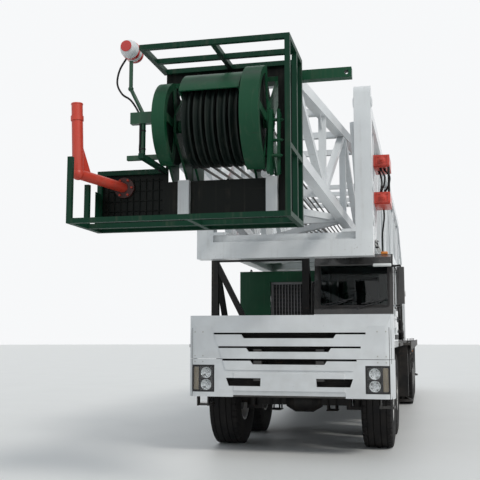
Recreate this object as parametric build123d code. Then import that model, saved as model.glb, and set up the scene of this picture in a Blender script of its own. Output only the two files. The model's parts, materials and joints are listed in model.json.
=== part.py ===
from build123d import *
import math
import os

# A truck-mounted well flushing and servicing rig: a five-axle half-cab
# carrier with a two-section telescoping lattice mast lying over its cab.
# Millimetres. +X is the truck's left, +Z is up, and the front faces -Y.
# Y is written as a station: 0 at the bumper's face, growing to the rear.
# At the end every piece moves by SHIFT, so that the origin lies on the
# ground under the middle of the truck.

# Ground line and wheels
TYRE_R = 600.0          # axle height, to the flats of the tread
TYRE_FLATS = 30         # the tread is a ring of flats
RIM_R = 285.0
HAND_HOLES = 8          # round holes in a wheel disc
HAND_HOLE_R, HAND_HOLE_AT = 24.0, 226.0
FRONT_TYRE_W = 400.0
REAR_TYRE_W = 300.0
TWIN_GAP = 30.0
FRONT_TRACK = 990.0     # half of it, to the tyre's middle
REAR_TRACK = 1015.0
FRONT_AXLES = (1320.0, 2770.0)
REAR_AXLES = (8500.0, 9850.0, 11200.0)
KING_X = 720.0
HUB_R = 150.0
SPINDLE_R = 60.0
RUN_GAP = 0.3           # running gap on a shaft, pin or slide

# Carrier frame and deck
RAIL_X = 330.0          # inner face of a side rail
RAIL_W = 100.0
RAIL_Z0, RAIL_Z1 = 900.0, 1300.0
FRAME_Y0, FRAME_Y1 = 330.0, 13300.0
DECK_T = 40.0
DECK_X = 1390.0
DECK_Y0 = 3480.0
SKIRT_H = 120.0
FENDER_X = 1270.0
FENDER_Z = 1290.0

TRANSFER_Y0, TRANSFER_Y1 = 4230.0, 4900.0       # transfer case under the frame
TOW_EYE_R = 25.0

# Nose and bumper
NOSE_X = 1250.0
BUMPER_Z0, BUMPER_Z1 = 708.0, 1160.0
NOSE_Z1 = 1690.0
NOSE_BREAK_Z = 1515.0   # above this the nose leans back
NOSE_LEAN = 50.0
BUMPER_D = 330.0
NOSE_D = 145.0
SHEET = 30.0            # wall of the nose and bumper mouldings
CORNER_R = 110.0
SEAM = 6.0              # gap between the nose and the bumper
RAISE = 12.0            # how proud the grille stands of the corner panels
GRILLE_Z0 = 1030.0
GRILLE_X0, GRILLE_X1 = 770.0, 990.0     # its half-width at its foot and at the nose's top
# columns: grille slot's top, bottom, half-length of its deep middle, half-length over all
GRILLE_SLOTS = ((1480.0, 1412.0, 545.0, 925.0), (1316.0, 1250.0, 485.0, 865.0),
                (BUMPER_Z1 + SEAM / 2, 1098.0, 435.0, 815.0))
SLIT_H = 22.0           # height of a slot's thin ends
LAMP_X0, LAMP_X1 = 920.0, 1195.0
LAMP_Z0, LAMP_Z1 = 770.0, 1085.0

LAMP_SEAT = 56.0        # depth of the pocket's floor
LAMP_GAP = 6.0          # shadow gap round a headlamp
BAND_X = 680.0          # half-length of the bumper's raised middle band
CHIN_Z = 775.0
STEP_Z = 600.0

# Half cab
CAB_X0, CAB_X1 = 300.0, 1250.0
CAB_Y0, CAB_Y1 = 150.0, 1720.0
CAB_Z0, CAB_Z1 = 1300.0, 2430.0
CAB_WALL = 45.0
GLASS_T = 6.0
SILL_Z = 1760.0
HEADER_Z = 2320.0

DOOR_Y0 = 430.0
HINGE_R = 12.0
HINGE_X, HINGE_Y = CAB_X1 + HINGE_R, DOOR_Y0 - 3.0
DOOR_HINGES = (1500.0, 1720.0)

# Mast, lying
PIVOT_Y, PIVOT_Z = 13000.0, 2600.0
PIN_R = 55.0
LOW_Y0, LOW_Y1 = -300.0, 13150.0
LOW_X = 955.0           # centre of a lower-section chord
LOW_CHORD = 150.0
LOW_TOP = 4225.0        # centre of the open-side chords
FOOT_TOP = 3500.0       # the open-side chords come down to this at the foot
FOOT_TAPER_Y = 10600.0
FOOT_ROW_Y = 12720.0    # last cross bar ahead of the hinge ears
UP_Y0, UP_Y1 = -2600.0, 11500.0
UP_CHORD = 110.0
UP_X = 745.0
UP_BACK, UP_TOP = 2775.0, 4030.0
CROWN_X = 515.0         # half-width at the crown
CROWN_BACK, CROWN_TOP = 3035.0, 3725.0
TAPER_Y = 1600.0        # where the upper section reaches its full size
BRACE = 75.0
SLIDE_Z = 2705.0        # top of the rails that the upper section slides on
POST_HOLE_R = 38.0
POST_HOLES = (2780.0, 3180.0, 4205.0)   # heights of the pin holes in the end posts

# Crown platform: plate at PLATE_Y, rails forward of it
PLATE_Y = -2900.0
PLATE_T = 12.0
RAIL_TOP_Y = -3550.0
RAIL_MID_Y = -3200.0
RAIL_W2 = 42.0           # square rail tube
PLAT_X0, PLAT_X1 = -600.0, 610.0
PLAT_Z0, PLAT_Z1 = 2370.0, 3790.0
LOBE_X0, LOBE_Z1 = -1210.0, 2885.0
DAVIT_REST_Z = 2735.0    # the lobe's middle rail ends here, under the davit

STRUTS = (-420.0, 365.0)         # white struts that carry the platform
STRUT_W = 100.0
STRUT_Z0, STRUT_Z1 = 2440.0, 2790.0

# Mast raising cylinders
CYL_X = 955.0
CYL_BASE = (12400.0, 1430.0)    # station and height of each pin
CYL_HEAD = (9950.0, 2415.0)
CYL_BARREL_R = 105.0
CYL_ROD_R = 65.0
CYL_PIN_R = 40.0
EAR_IN, EAR_T = 71.0, 32.0      # half-gap between the mast's two ears, and their thickness
CYL_DEAD = 560.0        # barrel's end to the rod's eye when shut

# Levelling jacks
JACK_X = 1230.0
JACK_STATIONS = (3600.0, 12560.0)
JACK_BOX = 200.0
JACK_R = 65.0
JACK_PAD_R = 160.0
JACK_PAD_Z = 420.0

TAIL_Y = 14100.0
SHIFT = Vector(0, -(TAIL_Y + RAIL_TOP_Y - RAIL_W2 / 2) / 2, 0)


def block(x0, x1, y0, y1, z0, z1):
    """An upright box between two corners."""
    centre = Pos((x0 + x1) / 2, (y0 + y1) / 2, (z0 + z1) / 2)
    return centre * Box(x1 - x0, y1 - y0, z1 - z0)


def along_x(radius, x0, x1, y, z):
    """A round bar along X."""
    return Pos((x0 + x1) / 2, y, z) * Rot(0, 90, 0) * Cylinder(radius, x1 - x0)


def upright(radius, x, y, z0, z1):
    """A round bar along Z."""
    return Pos(x, y, (z0 + z1) / 2) * Cylinder(radius, z1 - z0)


def rod(p, q, radius):
    """A round bar from p to q."""
    axis = Vector(*q) - Vector(*p)
    return extrude(Plane(origin=p, z_dir=axis) * Circle(radius), amount=axis.length)


def bar(p, q, wide, deep=None):
    """A square bar from p to q; wide is its size across X where it can be."""
    axis = Vector(*q) - Vector(*p)
    side = (0, 0, 1) if abs(axis.X) > 0.5 * axis.length else (1, 0, 0)
    plane = Plane(origin=p, x_dir=side, z_dir=axis)
    return extrude(plane * Rectangle(wide, deep or wide), amount=axis.length)


def joined(pieces):
    """One fused body."""
    return Part() + list(pieces)


def both_sides(piece):
    """The piece and its mirror image across the truck's middle."""
    return [piece, mirror(piece, about=Plane.YZ)]


def cabin_side(points):
    """A face in the YZ plane from (y, z) corners."""
    return Plane.YZ * make_face(Polyline(*[(y, z) for y, z in points], close=True))


# Wheels


def tyre(width, middle_x, station, side):
    """A tyre with flats for its tread, bevelled shoulders and an open bead."""
    half, shoulder = width / 2, 38.0
    # columns: distance from the middle of the tread, flat-to-centre radius
    rings = ((-half, TYRE_R - 34), (-half + shoulder, TYRE_R),
             (half - shoulder, TYRE_R), (half, TYRE_R - 34))
    rounds = [Plane.YZ.offset(x) * RegularPolygon(radius, TYRE_FLATS, major_radius=False)
              for x, radius in rings]
    bead = Plane.YZ.offset(-half) * RegularPolygon(RIM_R, TYRE_FLATS, major_radius=False)
    whole = loft(rounds, ruled=True) - extrude(bead, amount=width)
    return Pos(side * middle_x, station, TYRE_R) * whole


def rim_ring(width):
    """The band that the tyre's bead sits on."""
    outer = Plane.YZ.offset(-width / 2) * RegularPolygon(RIM_R, TYRE_FLATS, major_radius=False)
    inner = Plane.YZ.offset(-width / 2) * Circle(RIM_R - 22)
    return extrude(outer - inner, amount=width)


def dished_disc(edge_x, face_x):
    """A revolved wheel disc: rim edge, cone, bolting face and hub hole."""
    points = ((edge_x, RIM_R - 12), (face_x + 16, 178), (face_x, 165), (face_x, HUB_R - 40),
              (face_x - 16, HUB_R - 40), (face_x - 16, 172), (edge_x - 20, RIM_R - 12))
    disc = revolve(Plane.XY * make_face(Polyline(*points, close=True)), Axis.X)
    reach = abs(face_x - edge_x) + 60
    for count in range(HAND_HOLES):
        turn = math.radians(360 * count / HAND_HOLES)
        y, z = HAND_HOLE_AT * math.cos(turn), HAND_HOLE_AT * math.sin(turn)
        disc -= along_x(HAND_HOLE_R, min(edge_x, face_x) - 40, min(edge_x, face_x) + reach, y, z)
    return disc


def front_wheel(station, side):
    """The tyre, rim and hub of a steered wheel; the disc stands near the outer face."""
    rim = joined([rim_ring(FRONT_TYRE_W - 60), dished_disc(40, 118),
                  along_x(HUB_R, -40, 160, 0, 0) - along_x(SPINDLE_R + RUN_GAP, -40, 110, 0, 0)])
    if side < 0:
        rim = mirror(rim, about=Plane.YZ)
    return (tyre(FRONT_TYRE_W, FRONT_TRACK, station, side),
            Pos(side * FRONT_TRACK, station, TYRE_R) * rim)


def rear_wheel(station, side):
    """Two tyres on back-to-back rims with one deep outer dish."""
    step = (REAR_TYRE_W + TWIN_GAP) / 2
    tyres = [tyre(REAR_TYRE_W, REAR_TRACK + offset, station, side) for offset in (-step, step)]
    rims = [Pos(offset, 0, 0) * rim_ring(REAR_TYRE_W - 40) for offset in (-step, step)]
    hub = (along_x(HUB_R, -130, step + 20, 0, 0)
           - along_x(SPINDLE_R + RUN_GAP, -130, step - 40, 0, 0))
    rim = joined(rims + [Pos(step, 0, 0) * dished_disc(-60, -128), hub,
                         along_x(RIM_R - 10, -36, -20, 0, 0) - along_x(HUB_R - 10, -36, -20, 0, 0),
                         along_x(RIM_R - 8, -40, 40, 0, 0) - along_x(RIM_R - 30, -40, 40, 0, 0)])
    if side < 0:
        rim = mirror(rim, about=Plane.YZ)
    return Compound(tyres), Pos(side * REAR_TRACK, station, TYRE_R) * rim


def knuckle(station, side):
    """A steering knuckle: king-pin barrel, spindle and brake drum backing."""
    hub_back = FRONT_TRACK - 40 - RUN_GAP * 4
    pieces = [along_x(SPINDLE_R, KING_X, FRONT_TRACK + 90, station, TYRE_R),
              along_x(150, hub_back - 90, hub_back - 10, station, TYRE_R),
              upright(70, KING_X, station, TYRE_R - 86 + RUN_GAP, TYRE_R + 86 - RUN_GAP),
              bar((KING_X, station, TYRE_R - 60), (KING_X - 60, station + 230, TYRE_R - 60), 50)]
    whole = joined(pieces)
    return whole if side > 0 else mirror(whole, about=Plane.YZ)


def differential(radius):
    """A driven axle's round gear housing, revolved about X."""
    outline = ((-240, 0), (-240, 80), (-120, radius), (120, radius), (240, 80), (240, 0))
    return revolve(Plane.XY * make_face(Polyline(*outline, close=True)), Axis.X)


def axles():
    """Front beams with king-pin yokes, and driven rear housings."""
    found = []
    for station in FRONT_AXLES:
        beam = [bar((-KING_X + 130, station, TYRE_R - 20), (KING_X - 130, station, TYRE_R - 20), 110, 130)]
        for side in (-1, 1):
            x0, x1 = sorted((side * (KING_X - 150), side * (KING_X + 60)))
            for z0, z1 in ((TYRE_R - 130, TYRE_R - 86), (TYRE_R + 86, TYRE_R + 130)):
                beam.append(block(x0, x1, station - 60, station + 60, z0, z1))
            w0, w1 = sorted((side * (KING_X - 150), side * (KING_X - 90)))
            beam.append(block(w0, w1, station - 60, station + 60, TYRE_R - 130, TYRE_R + 130))
        beam.append(Pos(0, station, TYRE_R - 20) * differential(150))
        found.append(joined(beam))
    for station in REAR_AXLES:
        tube = REAR_TRACK + (REAR_TYRE_W + TWIN_GAP) / 2 - 45
        housing = joined([along_x(SPINDLE_R, -tube, tube, station, TYRE_R),
                          along_x(85, -REAR_TRACK + 135, REAR_TRACK - 135, station, TYRE_R),
                          Pos(0, station, TYRE_R) * differential(200)])
        found.append(housing)
    for front, rear in zip(REAR_AXLES, REAR_AXLES[1:]):
        found.append(propeller_shaft(front + 200, rear - 200))
    found.append(propeller_shaft(TRANSFER_Y1, REAR_AXLES[0] - 200))
    return Compound(found)


def propeller_shaft(front, rear):
    """A drive shaft with a joint at each end, butting on the gear casings."""
    pieces = [rod((0, front + RUN_GAP, TYRE_R), (0, rear - RUN_GAP, TYRE_R), 50)]
    for y0, y1 in ((front + RUN_GAP, front + 90), (rear - 90, rear - RUN_GAP)):
        pieces.append(rod((0, y0, TYRE_R), (0, y1, TYRE_R), 80))
    return joined(pieces)


def springs():
    """Leaf packs and their hangers, one pair to each axle."""
    found = []
    for station in FRONT_AXLES + REAR_AXLES:
        seat = TYRE_R + (35 if station in FRONT_AXLES else 85 + RUN_GAP)
        for side in (-1, 1):
            x = side * (RAIL_X + RAIL_W / 2)
            pack = [block(x - 40, x + 40, station - reach, station + reach, seat + low, seat + low + 22)
                    for reach, low in ((160, 0), (290, 22), (430, 44), (560, 66))]
            for end in (-540, 540):
                pack.append(block(x - 45, x + 45, station + end - 20, station + end + 20,
                                  seat + 66, RAIL_Z0))
            found.append(joined(pack))
    return Compound(found)


# Carrier


def chassis_frame():
    """Two box rails, cross tubes, jack boxes and the tow hooks' beam."""
    pieces = both_sides(block(RAIL_X, RAIL_X + RAIL_W, FRAME_Y0, FRAME_Y1, RAIL_Z0, RAIL_Z1))
    for station in (400, 2045, TRANSFER_Y0 + 70, 6100, 7700, 9175, 10525, 12000, 13200):
        pieces.append(block(-RAIL_X, RAIL_X, station - 70, station + 70, RAIL_Z0 + 60, RAIL_Z1 - 60))
    case = block(-230, 230, TRANSFER_Y0, TRANSFER_Y1, TYRE_R - 150, RAIL_Z0 + 80)
    pieces.append(chamfer(case.edges().filter_by(Axis.Y).group_by(Axis.Z)[0], 90))
    for station in JACK_STATIONS:
        outer, inner = JACK_BOX / 2, JACK_R + RUN_GAP
        shell = block(JACK_X - outer, JACK_X + outer, station - outer, station + outer,
                      JACK_PAD_Z + 80, RAIL_Z1)
        bore = upright(inner, JACK_X, station, JACK_PAD_Z + 80, RAIL_Z1 - 20)
        arm = block(RAIL_X + RAIL_W, JACK_X - outer, station - 80, station + 80, RAIL_Z0 + 60, RAIL_Z1)
        pieces += both_sides(shell - bore) + both_sides(arm)
    lug = joined([block(RAIL_X + 20, RAIL_X + 60, FRAME_Y0 - 130, FRAME_Y0 + 60, 760, RAIL_Z0 - 6),
                  block(RAIL_X + 20, RAIL_X + 60, FRAME_Y0 + 6, FRAME_Y0 + 60, 760, RAIL_Z0 + 20)])
    lug -= along_x(TOW_EYE_R, RAIL_X, RAIL_X + 100, FRAME_Y0 - 70, 820)
    return joined(pieces + both_sides(lug))


def jack(x, station):
    """A levelling jack's leg and its round pad."""
    top = RAIL_Z1 - 60
    return joined([upright(JACK_R, x, station, JACK_PAD_Z + 30, top),
                   upright(JACK_PAD_R, x, station, JACK_PAD_Z, JACK_PAD_Z + 36)])


def deck():
    """The working deck with a skirt, and the lower deck over the front wheels."""
    top = RAIL_Z1 + DECK_T
    pieces = [block(-DECK_X, DECK_X, DECK_Y0, FRAME_Y1, RAIL_Z1, top)]
    pieces += both_sides(block(DECK_X - 12, DECK_X, DECK_Y0, FRAME_Y1, top - SKIRT_H, top))
    pieces.append(block(-FENDER_X, FENDER_X, CAB_Y1 + 40, DECK_Y0, RAIL_Z1, top))
    pieces.append(block(-FENDER_X, CAB_X0 - 40, NOSE_D, CAB_Y1 + 40, RAIL_Z1, top))
    return joined(pieces)


def side_boxes():
    """Tanks, lockers and steps hung under the deck between the axles."""
    # columns: side, front station, rear station, underside, rounded tank
    table = ((1, 4200, 5600, 720, True), (1, 5700, 6500, 800, False), (1, 6600, 7600, 860, False),
             (-1, 4200, 5000, 800, False), (-1, 5100, 6700, 720, True), (-1, 6800, 7600, 860, False))
    found = []
    for side, y0, y1, z0, tank in table:
        x0, x1 = sorted((side * (RAIL_X + RAIL_W + 20), side * (DECK_X - 40)))
        box = block(x0, x1, y0, y1, z0, RAIL_Z1)
        if tank:
            low = box.edges().filter_by(Axis.Y).group_by(Axis.Z)[0]
            box = fillet(low, 160)
        found.append(box)
    return Compound(found)


def moulding(y0, z0, z1, depth):
    """A front moulding: rounded corners, open behind, with its face at y0."""
    outer = block(-NOSE_X, NOSE_X, y0, depth, z0, z1)
    outer = fillet(outer.edges().filter_by(Axis.Z).group_by(Axis.Y)[0], CORNER_R)
    return outer, block(-NOSE_X + SHEET, NOSE_X - SHEET, y0 + SHEET, depth, z0, z1)


def grille_plate(z0, z1, y0, thick):
    """The raised grille's trapezoid between two heights, as a plate."""
    lean = (GRILLE_X1 - GRILLE_X0) / (NOSE_Z1 - GRILLE_Z0)
    low, high = [GRILLE_X0 + lean * (z - GRILLE_Z0) for z in (z0, z1)]
    face = Plane.XZ * make_face(Polyline((-low, z0), (low, z0), (high, z1), (-high, z1), close=True))
    return Pos(0, y0 + thick, 0) * extrude(face, amount=thick)


def grille_slot(top, bottom, middle, whole):
    """A slot whose middle is deep and has slanting ends, and whose ends are thin slits."""
    deep = ((-middle, bottom), (middle, bottom), (middle + 45, top), (-middle - 45, top))
    face = Plane.XZ * make_face(Polyline(*deep, close=True))
    depth = SHEET + RAISE + 10
    slot = Pos(0, depth - 5, 0) * extrude(face, amount=depth)
    return slot + block(-whole, whole, -5, depth - 5, top - SLIT_H, top)


def bumper():
    """The bumper moulding: open behind, with lamp pockets and fog-lamp slots."""
    outer, core = moulding(RAISE, BUMPER_Z0, BUMPER_Z1, BUMPER_D)
    seats = [outer & lamp_pocket(side, 30, LAMP_SEAT + 18) for side in (-1, 1)]
    shell = joined([outer - core] + seats + [grille_plate(GRILLE_Z0, BUMPER_Z1, 0, SHEET)])
    band = block(-BAND_X, BAND_X, 0, SHEET, CHIN_Z, GRILLE_Z0 - 30)
    shell += chamfer(band.edges().group_by(Axis.Y)[0], RAISE - 2)
    chin = ((RAISE, CHIN_Z), (RAISE - 5, BUMPER_Z0 - 5), (RAISE + 22, BUMPER_Z0 - 5))
    shell -= Pos(-BAND_X, 0, 0) * extrude(cabin_side(chin), amount=2 * BAND_X)
    for side in (-1, 1):
        shell -= lamp_pocket(side, LAMP_GAP, LAMP_SEAT)
        # corners of a fog-lamp slot seen from the front
        corners = ((side * 340, 838), (side * 735, 838), (side * 770, 935), (side * 335, 935))
        slot = Plane.XZ * make_face(Polyline(*corners, close=True))
        shell -= Pos(0, SHEET + RAISE + 5, 0) * extrude(slot, amount=SHEET + RAISE + 10)
    shell -= grille_slot(*GRILLE_SLOTS[-1])
    stays = both_sides(block(RAIL_X, RAIL_X + RAIL_W, SHEET, FRAME_Y0, RAIL_Z0, BUMPER_Z1 - 20))
    return joined([shell] + stays + both_sides(front_step()))


def front_step():
    """A step hung behind the bumper's corner on two straps."""
    pieces = [block(1050, 1230, 360, 560, STEP_Z - 30, STEP_Z)]
    for x in (1065, 1200):
        pieces.append(block(x, x + 15, 300, 400, STEP_Z - 30, BUMPER_Z0 + 60))
        pieces.append(block(x, x + 15, RAISE + SHEET, 330, BUMPER_Z0 + 20, BUMPER_Z0 + 60))
    return joined(pieces)


def lamp_pocket(side, grow, depth):
    """The square headlamp's block at a front corner."""
    x0, x1 = sorted((side * (LAMP_X0 - grow), side * (LAMP_X1 + grow)))
    return block(x0, x1, -5, depth, LAMP_Z0 - grow, LAMP_Z1 + grow)


def lamps():
    """Headlamps in the bumper, roof marker lamps and tail lamps on the rear bar."""
    found = []
    for side in (-1, 1):
        x0, x1 = sorted((side * LAMP_X0, side * LAMP_X1))
        body = block(x0, x1, RAISE + 6, LAMP_SEAT, LAMP_Z0, LAMP_Z1)
        found.append(fillet(body.edges().filter_by(Axis.Y), 35))
        x0, x1 = sorted((side * 900, side * 1180))
        found.append(block(x0, x1, TAIL_Y - 20, TAIL_Y, 930, 1030))
    for x in (CAB_X0 + 60, CAB_X1 - 140):
        found.append(block(x, x + 80, CAB_Y0 + 150, CAB_Y0 + 200, CAB_Z1, CAB_Z1 + 35))
    return Compound(found)


def nose():
    """The front panel: corner panels and a raised grille with long slots, leaning back above."""
    z0 = BUMPER_Z1 + SEAM
    outer, core = moulding(RAISE, z0, NOSE_Z1, NOSE_D)
    core = core & block(-NOSE_X, NOSE_X, 0, NOSE_D, z0, NOSE_Z1 - SHEET)
    plate = grille_plate(z0, NOSE_Z1, 0, RAISE + SHEET)
    shell = joined([outer, plate]) - core
    lean = ((-5, NOSE_BREAK_Z), (0, NOSE_BREAK_Z), (NOSE_LEAN, NOSE_Z1 + 1), (-5, NOSE_Z1 + 1))
    shell -= Pos(-NOSE_X, 0, 0) * extrude(cabin_side(lean), amount=2 * NOSE_X)
    back = ((RAISE + SHEET, NOSE_BREAK_Z), (RAISE + SHEET + NOSE_LEAN, NOSE_Z1 - SHEET),
            (RAISE + SHEET, NOSE_Z1 - SHEET))
    inner = Pos(-NOSE_X + SHEET, 0, 0) * extrude(cabin_side(back), amount=2 * (NOSE_X - SHEET))
    shell += inner
    for slot in GRILLE_SLOTS[:-1]:
        shell -= grille_slot(*slot)
    ties = both_sides(block(RAIL_X, RAIL_X + RAIL_W, SHEET, NOSE_D, BUMPER_Z1 + 20, RAIL_Z1 - 20))
    return joined([shell] + ties)


# Half cab


def cab_outline(inset):
    """The cab's side outline, from the floor up, drawn inset from the skin."""
    front, rear = CAB_Y0 + inset, CAB_Y1 - inset
    low, high = CAB_Z0 + inset, CAB_Z1 - inset
    return ((front, low), (rear, low), (rear, high), (front + 130, high), (front, SILL_Z))


def cab_solid(inset):
    """The cab as a solid block between its sides."""
    face = cabin_side(cab_outline(inset))
    return Pos(CAB_X0 + inset, 0, 0) * extrude(face, amount=CAB_X1 - CAB_X0 - 2 * inset)


def door_cut(gap):
    """The door's outline as a solid through the left wall."""
    points = ((DOOR_Y0 - gap, CAB_Z0 + 70 - gap), (1560 + gap, CAB_Z0 + 70 - gap),
              (1560 + gap, HEADER_Z + 40 + gap), (DOOR_Y0 - gap, HEADER_Z + 40 + gap))
    return Pos(CAB_X1 - CAB_WALL, 0, 0) * extrude(cabin_side(points), amount=CAB_WALL + 1)


def window_cut(y0, y1, z0, z1, x0, x1):
    """A through window with rounded corners, along X."""
    hole = block(x0, x1, y0, y1, z0, z1)
    return fillet(hole.edges().filter_by(Axis.X), 50)


def cab_shell():
    """The hollow half cab with windscreen, side and rear openings."""
    shell = cab_solid(0) - cab_solid(CAB_WALL)
    screen = block(CAB_X0 + 70, CAB_X1 - 60, CAB_Y0 - 60, CAB_Y0 + 260, SILL_Z + 40, HEADER_Z)
    shell -= screen
    shell -= window_cut(560, 1500, SILL_Z + 60, HEADER_Z - 20, CAB_X0 - 10, CAB_X0 + CAB_WALL + 10)
    rear = block(CAB_X0 + 140, CAB_X1 - 140, CAB_Y1 - CAB_WALL - 10, CAB_Y1 + 10,
                 SILL_Z + 60, HEADER_Z - 20)
    shell -= rear
    shell -= door_cut(6)
    pins = []
    for z in DOOR_HINGES:
        pins.append(upright(HINGE_R / 2, HINGE_X, HINGE_Y, z - 46, z + 46))
        for z0 in (z - 46, z + 32):
            pins.append(block(CAB_X1, HINGE_X + HINGE_R, HINGE_Y - 30, HINGE_Y - 1, z0, z0 + 14))
            pins.append(upright(HINGE_R, HINGE_X, HINGE_Y, z0, z0 + 14))
    return joined([shell] + pins + [visor(), mirror_arm()])


def visor():
    """The dark sun visor over the windscreen."""
    lip = ((CAB_Y0 + 30, HEADER_Z + 14), (CAB_Y0 - 70, HEADER_Z - 40), (CAB_Y0 - 74, HEADER_Z - 28),
           (CAB_Y0 - 20, HEADER_Z + 60), (CAB_Y0 + 128, CAB_Z1 - 4), (CAB_Y0 + 128, HEADER_Z + 60))
    return Pos(CAB_X0 + 20, 0, 0) * extrude(cabin_side(lip), amount=CAB_X1 - CAB_X0 - 40)


def mirror_arm():
    """The left mirror on its two arms."""
    x, y = CAB_X1 + 90, CAB_Y0 + 30
    case = block(x - 45, x + 45, y - 35, y + 35, SILL_Z + 60, HEADER_Z - 60)
    case = fillet(case.edges().filter_by(Axis.Z), 25)
    arms = [rod((CAB_X1 - 10, CAB_Y0 + 110, z), (x, y, z), 12) for z in (SILL_Z + 40, HEADER_Z - 40)]
    return joined([case, upright(12, x, y, SILL_Z + 40, HEADER_Z - 40)] + arms)


def cab_door():
    """The left door, as thick as the wall, with its window cut."""
    leaf = door_cut(0) - window_cut(500, 1490, SILL_Z + 30, HEADER_Z - 10,
                                    CAB_X1 - CAB_WALL - 5, CAB_X1 + 10)
    leaf = leaf & block(CAB_X1 - CAB_WALL, CAB_X1, 0, 2000, 0, 3000)
    straps = []
    for z in DOOR_HINGES:
        straps.append(block(CAB_X1, CAB_X1 + 6, HINGE_Y + 3, HINGE_Y + 110, z - 30, z + 30))
        straps.append(upright(HINGE_R, HINGE_X, HINGE_Y, z - 30, z + 30))
    return joined([leaf] + straps) - upright(HINGE_R / 2 + RUN_GAP, HINGE_X, HINGE_Y, CAB_Z0, CAB_Z1)


def pane(y0, y1, z0, z1, x):
    """A flat side pane set in the middle of a wall."""
    return block(x - GLASS_T / 2, x + GLASS_T / 2, y0, y1, z0, z1)


def cab_glass():
    """The windscreen, right side pane and rear pane."""
    slope = math.atan2(130, CAB_Z1 - SILL_Z)
    low = Vector(0, CAB_Y0 + 40 * math.tan(slope), SILL_Z + 40)
    height = (HEADER_Z - SILL_Z - 50) / math.cos(slope)
    plane = Plane(origin=((CAB_X0 + CAB_X1) / 2 + 5, low.Y + 12, low.Z),
                  x_dir=(1, 0, 0), z_dir=(0, -math.cos(slope), math.sin(slope)))
    screen = extrude(plane * Pos(0, height / 2 + 5, 0) * Rectangle(CAB_X1 - CAB_X0 - 130, height),
                     amount=-GLASS_T)
    side = pane(560, 1500, SILL_Z + 60, HEADER_Z - 20, CAB_X0 + CAB_WALL / 2)
    side = fillet(side.edges().filter_by(Axis.X), 50)
    rear = block(CAB_X0 + 140, CAB_X1 - 140, CAB_Y1 - 26, CAB_Y1 - 20, SILL_Z + 60, HEADER_Z - 20)
    return Compound([screen, side, rear])


def door_glass():
    """The door's pane."""
    glass = pane(500, 1490, SILL_Z + 30, HEADER_Z - 10, CAB_X1 - CAB_WALL / 2)
    return fillet(glass.edges().filter_by(Axis.X), 50)


def cab_interior():
    """Seat, dashboard, steering column and wheel."""
    floor = CAB_Z0 + CAB_WALL
    middle = (CAB_X0 + CAB_X1) / 2
    dash = block(CAB_X0 + CAB_WALL, CAB_X1 - CAB_WALL - 20, CAB_Y0 + CAB_WALL, 440, floor, SILL_Z - 30)
    dash = chamfer(dash.edges().filter_by(Axis.X).group_by(Axis.Z)[-1].sort_by(Axis.Y)[-1], 90)
    column = rod((middle, 320, SILL_Z - 120), (middle, 560, SILL_Z + 60), 30)
    hub = Vector(middle, 565, SILL_Z + 64)
    plane = Plane(origin=hub, z_dir=(0, 160, 120))
    wheel = plane.location * Torus(210, 16)
    spokes = [plane.location * Pos(0, 0, 0) * Box(410, 30, 12), plane.location * Cylinder(50, 30)]
    seat = joined([block(middle - 260, middle + 260, 930, 1450, floor + 230, floor + 350),
                   bar((middle, 1440, floor + 300), (middle, 1560, floor + 900), 480, 110),
                   block(middle - 150, middle + 150, 1040, 1340, floor, floor + 230)])
    return Compound([joined([dash, column, wheel] + spokes), seat])


def mast_rest():
    """The black front support: four posts, a cradle beam and braces."""
    top = BACK_REST_Z
    pieces = []
    for x in (-1110.0, 110.0):
        pieces.append(block(x - 45, x + 45, 760, 850, RAIL_Z1 + DECK_T, top))
    pieces.append(block(-1155, 155, 760, 850, top - 100, top))
    pieces.append(bar((-1110, 805, top - 90), (-560, 805, RAIL_Z1 + DECK_T + 20), 70))
    pieces.append(bar((-1110, 850, top - 120), (-1110, 1560, RAIL_Z1 + DECK_T + 30), 70))
    pieces.append(bar((110, 850, top - 120), (110, 1560, RAIL_Z1 + DECK_T + 30), 70))
    for x in (-1030, -880):
        pieces.append(block(x - 12, x + 12, 740, 870, top - 40, top))
    return joined(pieces)


# Machinery on the deck


def engine_housing():
    """The green power housing: open frame, louvred sides and a plain roof."""
    floor, roof = RAIL_Z1 + DECK_T, 2400.0
    y0, y1, x = 2150.0, 4900.0, 1080.0
    body = block(-x, x, y0, y1, floor, roof) - block(-x + 40, x - 40, y0 + 40, y1 - 40, floor, roof - 40)
    for side in (-1, 1):
        x0, x1 = sorted((side * (x - 60), side * (x + 20)))
        for start in (2350.0, 3250.0, 4150.0):
            body -= block(x0, x1, start, start + 560, floor + 260, roof - 240)
    body -= block(-x + 120, x - 120, y1 - 60, y1 + 20, floor + 160, roof - 160)
    body -= block(-620, x - 700, y0 - 20, y0 + 60, floor + 200, roof - 160)
    # columns: lowest height of a louvre blade in a side bay
    blades = []
    for start in (2350.0, 3250.0, 4150.0):
        for step in range(5):
            z = floor + 300 + step * 95
            blades += both_sides(bar((x - 30, start - 5, z), (x - 30, start + 565, z), 16, 70))
    return joined([body] + blades)


def engine_block():
    """The engine and gearbox as one plain mass."""
    floor = RAIL_Z1 + DECK_T
    return joined([block(-480, 480, 2700, 4300, floor, floor + 780),
                   block(-300, 300, 4300, 4700, floor, floor + 520)])


def exhausts():
    """Two upright silencers and stacks behind the power housing."""
    floor = RAIL_Z1 + DECK_T
    found = []
    for x in (-860, 860):
        found.append(joined([upright(105, x, 5110, floor, 2080), upright(50, x, 5110, 2080, 2430)]))
    return Compound(found)


def gearbox_housing():
    """The angle gearbox and hydraulic tank block behind the engine."""
    floor = RAIL_Z1 + DECK_T
    tank = block(-620, 620, 5320, 6500, floor, 2300)
    tank = chamfer(tank.edges().filter_by(Axis.Y).group_by(Axis.Z)[-1], 90)
    stand = block(-420, 420, 6500, 8900, floor, floor + 420)
    return joined([tank, stand])


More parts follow.
